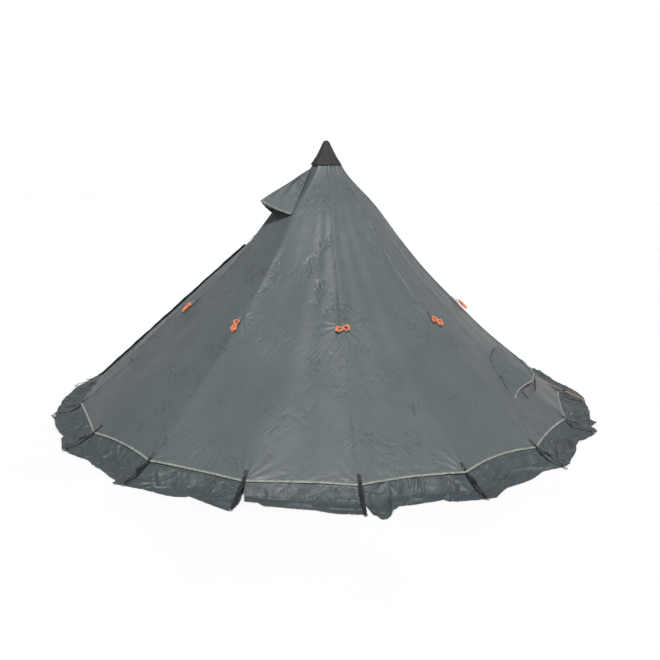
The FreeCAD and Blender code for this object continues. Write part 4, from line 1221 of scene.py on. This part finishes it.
def make_window_mesh(name, k, window, node):
    """Netting behind a window, with the tape that binds the window's edge."""
    az, z_low, z_high, half_low, half_high = window
    centre_az = seam_az(k) + SPAN / 2
    turn = math.radians(az - centre_az)
    rows, cols = 30, 36
    points = np.zeros((rows, cols, 3))
    margin = 0.012

    def spot(a, z, lift):
        """The wall at sideways distance a from the window's middle, square to its azimuth."""
        r = float(seam_radius(z))
        reach = r * math.sin(math.radians(SPAN / 2))
        s = (a + r * float(crease_share(z)) * math.sin(turn)) / (reach * math.cos(turn))
        for _ in range(6):
            p = wall(k, s, z)
            s += (a - float(p @ tangent(az))) / reach
        return wall_spot(k, s, z, lift)[0][0]

    for i in range(rows):
        share = i / (rows - 1)
        z = z_low - margin + (z_high - z_low + 2 * margin) * share
        half = half_low + (half_high - half_low) * share + margin
        for j in range(cols):
            points[i, j] = spot(-half + 2 * half * j / (cols - 1), z, -0.0048)
    obj = grid(name, points, cloth_uv(points))
    thicken(obj, 0.0004)
    fit_out(obj, MESH, "mesh", ROOT, node)
    declare_sheet(obj, points, "stretched", ["wall_cloth_%d" % (k + 1)])
    corners = [(-half_low, z_low), (half_low, z_low), (half_high, z_high), (-half_high, z_high)]
    corners.append(corners[0])
    trim = Batch()
    for (a0, z0), (a1, z1) in zip(corners, corners[1:]):
        path = np.array([spot(a0 + (a1 - a0) * t, z0 + (z1 - z0) * t, 0.0004) for t in np.linspace(0, 1, 30)])
        trim.sweep(path, outward(az), flat_profile(0.026, 0.0026))
    fit_out(trim.build(name + "_tape"), SEAM, "wall_fabric", ROOT)


# ---------------------------------------------------------------- ground vent
GV_PANEL = 3


def ground_hood_point(t, v, lift=0.0):
    """t from -1 to 1 along the arch, v from 0 at the lip to 1 at the root on the wall."""
    az = GV_AZ + 15.5 * t
    s = (az - seam_az(GV_PANEL)) / SPAN * 2 - 1
    arch = 1 - t * t
    root = flat_wall(GV_PANEL, s, 0.345 + 0.255 * (1 - t ** 4)) + outward(az) * 0.0035
    bow = 0.074 * math.sqrt(max(0.0, 1 - abs(t) ** 3))
    lip = flat_wall(GV_PANEL, s, 0.330 + bow) + outward(GV_AZ) * (0.010 + 0.104 * arch ** 1.15)
    swell = 0.030 * np.linalg.norm(lip - root) / 0.320
    p = lip + (root - lip) * v + outward(GV_AZ) * (swell * 4 * v * (1 - v) + lift)
    rays = 0.0110 * math.sin(30 * t + 2.0 + 2 * v) * v * (1 - v) * 3 * (0.4 + abs(t))
    soft = 0.0030 * math.sin(9 * v + 5 * t) * v * (1 - v) * 4
    gather = 0.0085 * math.sin(52 * t + 1) * max(0.0, v - 0.62) * 3
    return p + outward(GV_AZ) * (rays + soft + gather) * min(1.0, arch * 3)


def make_ground_vent():
    points = sampled(ground_hood_point, 97, 44)
    hood = grid("ground_hood_cloth", points, cloth_uv(points))
    thicken(hood, CLOTH)
    fit_out(hood, LINING, "wall_fabric", ROOT, "ground_vent_hood")
    declare_sheet(hood, points, "stretched", ["wall_cloth_4"])
    piping = Batch()
    lip = points[0, 1:-1] - np.array([0, 0, 0.001])
    piping.sweep(lip, outward(GV_AZ), round_profile(0.0058, 10))
    fit_out(piping.build("ground_hood_piping"), GREY_TAPE, "binding", ROOT, "vent_piping")
    trim = Batch()
    for t0, t1, v0, v1 in ((-0.03, -0.93, 0.03, 0.97), (0.03, 0.93, 0.03, 0.97)):
        path = np.array([ground_hood_point(t0 + (t1 - t0) * q, v0 + (v1 - v0) * q, 0.0008)
                         for q in np.linspace(0, 1, 44)])
        trim.sweep(path, outward(GV_AZ), flat_profile(0.015, 0.0012))
    fit_out(trim.build("ground_hood_sleeves"), LINING, "wall_fabric", ROOT)
    loop = Batch()
    peak = ground_hood_point(0.0, 0.0)
    hang = []
    for q in np.linspace(0, 1, 30):
        a = 2 * math.pi * q
        drop = np.array([0, 0, -0.026 + 0.021 * math.cos(a)])
        hang.append(peak + drop + tangent(GV_AZ) * 0.024 * math.sin(a) + outward(GV_AZ) * 0.011)
    loop.sweep(hang[:-1], outward(GV_AZ), round_profile(0.0018, 8), closed=True)
    fit_out(loop.build("ground_hood_elastic_loop"), BLACK_CORD, "black_plastic", ROOT)
    tie = Batch()
    line = VENT_PEG - VENT_PEAK
    ring = []
    for q in np.linspace(0, 2 * math.pi, 15)[:-1]:
        ring.append(VENT_PEAK - unit(line) * 0.006 + np.array([0, 0, 0.0062 * math.cos(q)])
                    + unit(line) * 0.010 * math.sin(q))
    tie.sweep(ring, tangent(GV_AZ), round_profile(0.0019, 8), closed=True)
    fit_out(tie.build("ground_hood_cord_loop"), GREY_LOOP, "binding", ROOT)
    make_window_mesh("ground_vent_netting", GV_PANEL, GROUND_WINDOW, "ground_vent_mesh")


# ---------------------------------------------------------------- door
DOOR_AZ = seam_az(DOOR_PANEL) + SPAN / 2
DOOR_SIDE, HINGE_TOP, CLEAR = 0.120, 0.040, 0.001
FLAP_TOP, FLAP_FOOT, SEW_GAP = 0.100, 0.006, 0.0005
ZIP_TOP = polar(DOOR_AZ, float(seam_radius(ZIP_TOP_Z) * crease_share(ZIP_TOP_Z)), ZIP_TOP_Z)
ZIP_FOOT = polar(DOOR_AZ, HEM_R, HEM_Z)
ZIP_LENGTH = float(np.linalg.norm(ZIP_FOOT - ZIP_TOP))
ZIP_DOWN = (ZIP_FOOT - ZIP_TOP) / ZIP_LENGTH
SIDES = {"near": 1, "far": -1}


def hinge_ends(side):
    corner = polar(DOOR_AZ + SIDES[side] * SPAN / 2, HEM_R, HEM_Z)
    width = np.linalg.norm(corner - ZIP_FOOT)
    along = (corner - ZIP_FOOT) / width
    return ZIP_TOP + along * HINGE_TOP, ZIP_FOOT + along * (width - DOOR_SIDE), along


def flap_normal(side):
    n = unit(np.cross(ZIP_DOWN, hinge_ends(side)[2]))
    return n if n @ outward(DOOR_AZ) > 0 else -n


def in_flap(side, down, across, lift=0.0):
    return ZIP_TOP + ZIP_DOWN * down + hinge_ends(side)[2] * across + flap_normal(side) * lift


def hinge_across(side, down):
    low = np.linalg.norm(hinge_ends(side)[1] - ZIP_FOOT)
    return HINGE_TOP + (low - HINGE_TOP) * down / ZIP_LENGTH


def make_flap(side):
    cols, rows = 49, 130
    down = np.linspace(FLAP_TOP, ZIP_LENGTH - FLAP_FOOT, rows)
    points = np.zeros((rows, cols, 3))
    n = flap_normal(side)
    seed = 1100 + SIDES[side]
    for i, d in enumerate(down):
        wide = hinge_across(side, d)
        for j in range(cols):
            points[i, j] = in_flap(side, d, CLEAR + (wide - CLEAR) * j / (cols - 1))
    x, y = lengths_along(points, 1), lengths_along(points, 0)
    u = np.linspace(0, 1, cols)[None, :]
    inner = np.clip((x - 0.022) / 0.05, 0, 1) * np.clip((1 - u) * x.max(axis=1, keepdims=True) / 0.03, 0, 1)
    step = 0.0045 * waves(x, y * 0.5, 0.42, seed) + 0.0012 * waves(x, y, 0.12, seed + 7)
    crossed = sharp(folds(x, y, 0.9 * SIDES[side], 0.16, seed + 11, 6, 0.5))
    step -= 0.0050 * crossed * np.exp(-(u - 1) ** 2 / 0.2)
    step += 0.0035 * folds(x, y, 0.15, 0.20, seed + 17, 5, 0.2)
    ends = np.clip(y / 0.06, 0, 1) * np.clip((y.max() - y) / 0.03, 0, 1)
    step = (step - 0.004) * inner * (0.15 + 0.85 * ends)
    points = points + n * step[..., None]
    obj = grid("door_flap_%s_cloth" % side, points, cloth_uv(points))
    thicken(obj, CLOTH, offset=outer_side(points, n))
    body = "door_flap_" + side
    fit_out(obj, WALL, "wall_fabric", body, body)
    declare_sheet(obj, points, "stretched", ["door_zip_" + side])
    hem = Batch()
    for line, width in ((points[1:-1, -1], 0.012), (points[-1, 1:-1], 0.014), (points[0, 1:-1], 0.012)):
        hem.sweep(line - n * 0.0005, n, flat_profile(width, 0.0030))
    fit_out(hem.build("door_flap_%s_hems" % side), SEAM, "wall_fabric", body)


def outer_side(points, normal):
    """Solidify's offset that thickens a grid away from its outer face."""
    face = np.cross(points[0, 1] - points[0, 0], points[1, 0] - points[0, 0])
    return -1.0 if face @ normal > 0 else 1.0


def make_storm_flap():
    """Strip on the far flap that hangs over the zip."""
    n = flap_normal("far")
    start, stop = FLAP_TOP + 0.060, ZIP_LENGTH - 0.014
    section = [(0.0475, 0.0004), (0.0455, 0.0090), (0.0405, 0.0165), (0.030, 0.0203), (0.017, 0.0212),
               (0.0030, 0.0196)]
    rows, cols = 160, 16
    line = smooth_path([(a, 0, b) for a, b in section], cols)
    points = np.zeros((rows, cols, 3))
    for i in range(rows):
        d = start + (stop - start) * i / (rows - 1)
        wave = 0.0014 * math.sin(d * 21) + 0.0010 * math.sin(d * 47 + 1)
        for j in range(cols):
            q = j / (cols - 1)
            points[i, j] = in_flap("far", d, line[j, 0] - 0.001 * q * math.sin(d * 33), line[j, 2] + wave * q)
    obj = grid("door_storm_flap_cloth", points, cloth_uv(points))
    thicken(obj, CLOTH, offset=0.0)
    fit_out(obj, LINING, "wall_fabric", "door_flap_far", "door_storm_flap")
    declare_sheet(obj, points, "hung", ["door_flap_far_cloth"])
    hem = Batch()
    for j, width in ((0, 0.010), (cols - 1, 0.007)):
        hem.sweep(points[1:-1, j], n, flat_profile(width, 0.0028))
    fit_out(hem.build("door_storm_flap_hems"), SEAM, "wall_fabric", "door_flap_far")


def make_door_side(side):
    cols, rows = 17, 130
    sign = SIDES[side]
    corner_az = DOOR_AZ + sign * SPAN / 2
    top, foot, along = hinge_ends(side)
    points = np.zeros((rows, cols, 3))
    for i in range(rows):
        z = HEM_Z + (ZIP_TOP_Z - HEM_Z) * i / (rows - 1)
        seam = polar(corner_az, float(seam_radius(z)), z) - tangent(corner_az) * sign * SEW_GAP
        hinge = foot + (top - foot) * (z - foot[2]) / (top[2] - foot[2]) + along * CLEAR
        for j in range(cols):
            points[i, j] = hinge + (seam - hinge) * j / (cols - 1)
    x, y = lengths_along(points, 1), lengths_along(points, 0)
    n = flap_normal(side)
    step = 0.0016 * waves(x, y * 0.5, 0.30, 1200 + sign) + 0.0008 * waves(x, y, 0.09, 1210 + sign)
    lock = np.clip(x / 0.02, 0, 1) * np.clip((x.max(axis=1, keepdims=True) - x) / 0.02, 0, 1)
    points = points + n * (step * lock)[..., None]
    obj = grid("door_side_%s_cloth" % side, points, cloth_uv(points))
    thicken(obj, CLOTH, offset=outer_side(points, n))
    fit_out(obj, WALL, "wall_fabric", ROOT, "door_side_" + side)
    declare_sheet(obj, points, "stretched", ["hem_tape"])


def make_door_upper():
    points, base = panel_points(DOOR_PANEL, 65, 60, low=ZIP_TOP_Z)
    obj = grid("door_upper_cloth", points, cloth_uv(base))
    thicken(obj, CLOTH)
    fit_out(obj, WALL, "wall_fabric", ROOT, "door_panel_upper")
    declare_sheet(obj, base, "stretched", ["pole_plug"])
    for side in SIDES:
        n = flap_normal(side)
        low = FLAP_TOP - CLEAR
        rows = []
        for d in np.linspace(0.0, low, 14):
            wide = hinge_across(side, d)
            rows.append([in_flap(side, d, SEW_GAP + (wide - SEW_GAP) * q) for q in np.linspace(0, 1, 9)])
        gusset = np.array(rows)
        x, y = lengths_along(gusset, 1), lengths_along(gusset, 0)
        gusset = gusset + n * (0.0006 * waves(x, y, 0.05, 1300 + SIDES[side]))[..., None]
        piece = grid("door_gusset_%s_cloth" % side, gusset, cloth_uv(gusset))
        thicken(piece, CLOTH, offset=outer_side(gusset, n))
        fit_out(piece, WALL, "wall_fabric", ROOT, "door_panel_upper")
        declare_sheet(piece, gusset, "stretched", ["door_upper_cloth"])


def make_sill():
    """Webbing along the ground side of the doorway, between the hem corners."""
    tape = Batch()
    for k in (2 * DOOR_PANEL, 2 * DOOR_PANEL + 1):
        a = polar(peg_az(k), HEM_R - 0.002, HEM_Z - 0.008)
        b = polar(peg_az(k + 1), HEM_R - 0.002, HEM_Z - 0.008)
        trim = unit(b - a) * 0.0135
        t = np.linspace(0, 1, 40)[:, None]
        path = (a + trim) + (b - a - 2 * trim) * t
        path[:, 2] -= 0.0035 * (4 * t * (1 - t))[:, 0]
        out = outward((peg_az(k) + peg_az(k + 1)) / 2)
        tape.sweep(path, out, flat_profile(0.013, 0.0026))
    fit_out(tape.build("door_sill_tape"), BLACK_WEB, "webbing", ROOT, "door_sill_strap")


# ---------------------------------------------------------------- CAD pieces that stay: their finish
def finish_cad():
    finishes = (
        (PLASTIC, ("ladder_lock_buckles", "tieback_toggles", "strut_clip", "vent_cord_runner", "pole_clamp",
                   "clamp_lever", "pole_plug", "pole_cup")),
        (BLACK_CORD, ("flap_loop_near", "flap_loop_far")),
        (ZIP, ("door_zip_near", "door_zip_far", "zip_slider")),
        (ORANGE, ("zip_puller",)),
        (ALUMINIUM, ("pole_upper", "pole_middle", "pole_lower", "pole_joiner", "upper_vent_strut")),
        (STEEL, ("peg_rings", "clamp_pin")),
        (RUBBER, ("pole_foot",)),
        (GREY_LOOP, ("guy_loops",)),
    )
    for mat, names in finishes:
        for name in names:
            paint(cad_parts[name], mat)
    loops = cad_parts["guy_loops"].data
    loops.materials.append(SEAM)
    for face in loops.polygons:
        x, y, z = face.center
        wall_r = float(np.interp(z, LINE_Z, LINE_R))
        if math.hypot(x, y) - wall_r < 0.0125:
            face.material_index = 1


# ---------------------------------------------------------------- floor, light, camera
FLOOR_RADIUS, FLOOR_SIDES = 60.0, 96


def make_stage():
    mat, tree, bsdf = node_material("pale_floor", 0.85)
    place = coordinates(tree, "Object")
    tone = ramp(tree, noise(tree, place, 0.8), ((0.3, (0.755, 0.755, 0.755)), (0.7, (0.775, 0.775, 0.775))))
    tree.links.new(tone, bsdf.inputs["Base Color"])
    turns = [2 * math.pi * j / FLOOR_SIDES for j in range(FLOOR_SIDES)]
    rim = [(FLOOR_RADIUS * math.cos(a), FLOOR_RADIUS * math.sin(a), 0.0) for a in turns]
    floor = new_mesh("floor", rim, [tuple(range(FLOOR_SIDES))], False)
    floor.location.z = -0.0005
    paint(floor, mat)
    # White behind the tent, darker to the left, to the right, in front and overhead
    world = bpy.data.worlds.new("studio")
    world.use_nodes = True
    scene.world = world
    tree = world.node_tree
    where = tree.nodes.new("ShaderNodeTexCoord").outputs["Generated"]
    parts = tree.nodes.new("ShaderNodeSeparateXYZ")
    tree.links.new(where, parts.inputs[0])
    sideways = math_node(tree, "ADD", math_node(tree, "MULTIPLY", parts.outputs["X"], 0.5), 0.5)
    tone = ramp(tree, sideways, ((0.18, (0.22, 0.23, 0.245)), (0.26, grey(1.0)), (0.73, grey(1.0)),
                                 (0.82, (0.62, 0.62, 0.63))))
    ahead = math_node(tree, "ADD", math_node(tree, "MULTIPLY", parts.outputs["Y"], 0.5), 0.5)
    front = ramp(tree, ahead, ((0.35, (0.58, 0.585, 0.60)), (0.62, grey(1.0))))
    height = math_node(tree, "ADD", math_node(tree, "MULTIPLY", parts.outputs["Z"], 0.5), 0.5)
    dome = ramp(tree, height, ((0.62, grey(1.0)), (0.78, (0.42, 0.43, 0.45))))
    tone = multiply_colour(tree, multiply_colour(tree, tone, front), dome)
    tree.links.new(tone, tree.nodes["Background"].inputs["Color"])
    tree.nodes["Background"].inputs["Strength"].default_value = 1.0


def sun_light(name, azimuth, height, angle, strength, colour):
    """A distant soft lamp at an azimuth and height in degrees."""
    lamp = bpy.data.lights.new(name, "SUN")
    lamp.energy = strength
    lamp.angle = math.radians(angle)
    lamp.color = colour
    obj = bpy.data.objects.new(name, lamp)
    scene.collection.objects.link(obj)
    at = outward(azimuth) * math.cos(math.radians(height)) + np.array([0, 0, math.sin(math.radians(height))])
    obj.location = tuple(at * 9)
    obj.rotation_euler = Vector(tuple(-at)).to_track_quat("-Z", "Y").to_euler()


def make_lights():
    sun_light("key", 4.0, 44.0, 8.0, 4.6, (1.0, 0.99, 0.975))


# Camera: places in metres, angles in radians
CAMERA_AT = (0.0, -6.518, 2.142)
CAMERA_PITCH, CAMERA_YAW, CAMERA_ROLL = 0.236818, 0.007748, 0.012916
CAMERA_LENS, SENSOR = 37.97, 36.0
CAMERA_SHIFT_Y = 0.01186


def make_camera():
    data = bpy.data.cameras.new("camera")
    data.lens = CAMERA_LENS
    data.sensor_width = SENSOR
    data.shift_y = CAMERA_SHIFT_Y
    data.clip_end = 200.0
    obj = bpy.data.objects.new("camera", data)
    scene.collection.objects.link(obj)
    flat = Vector((math.sin(CAMERA_YAW), math.cos(CAMERA_YAW), 0))
    ahead = flat * math.cos(CAMERA_PITCH) - Vector((0, 0, 1)) * math.sin(CAMERA_PITCH)
    right0 = ahead.cross(Vector((0, 0, 1))).normalized()
    up0 = right0.cross(ahead)
    c, s = math.cos(CAMERA_ROLL), math.sin(CAMERA_ROLL)
    right = right0 * c + up0 * s
    up = up0 * c - right0 * s
    turn = Matrix((right, up, -ahead)).transposed()
    obj.matrix_world = Matrix.Translation(CAMERA_AT) @ turn.to_4x4()
    scene.camera = obj


# ---------------------------------------------------------------- build
make_camera()
make_guylines()
make_vent_cord()
make_panels()
make_seams()
make_binding()
make_cap()
make_upper_vent()
make_ground_vent()
for flap_side in SIDES:
    make_flap(flap_side)
    make_door_side(flap_side)
make_door_upper()
make_storm_flap()
make_sill()
make_skirt()
make_straps()
finish_cad()
make_stage()
make_lights()
scene.view_settings.view_transform = "Standard"
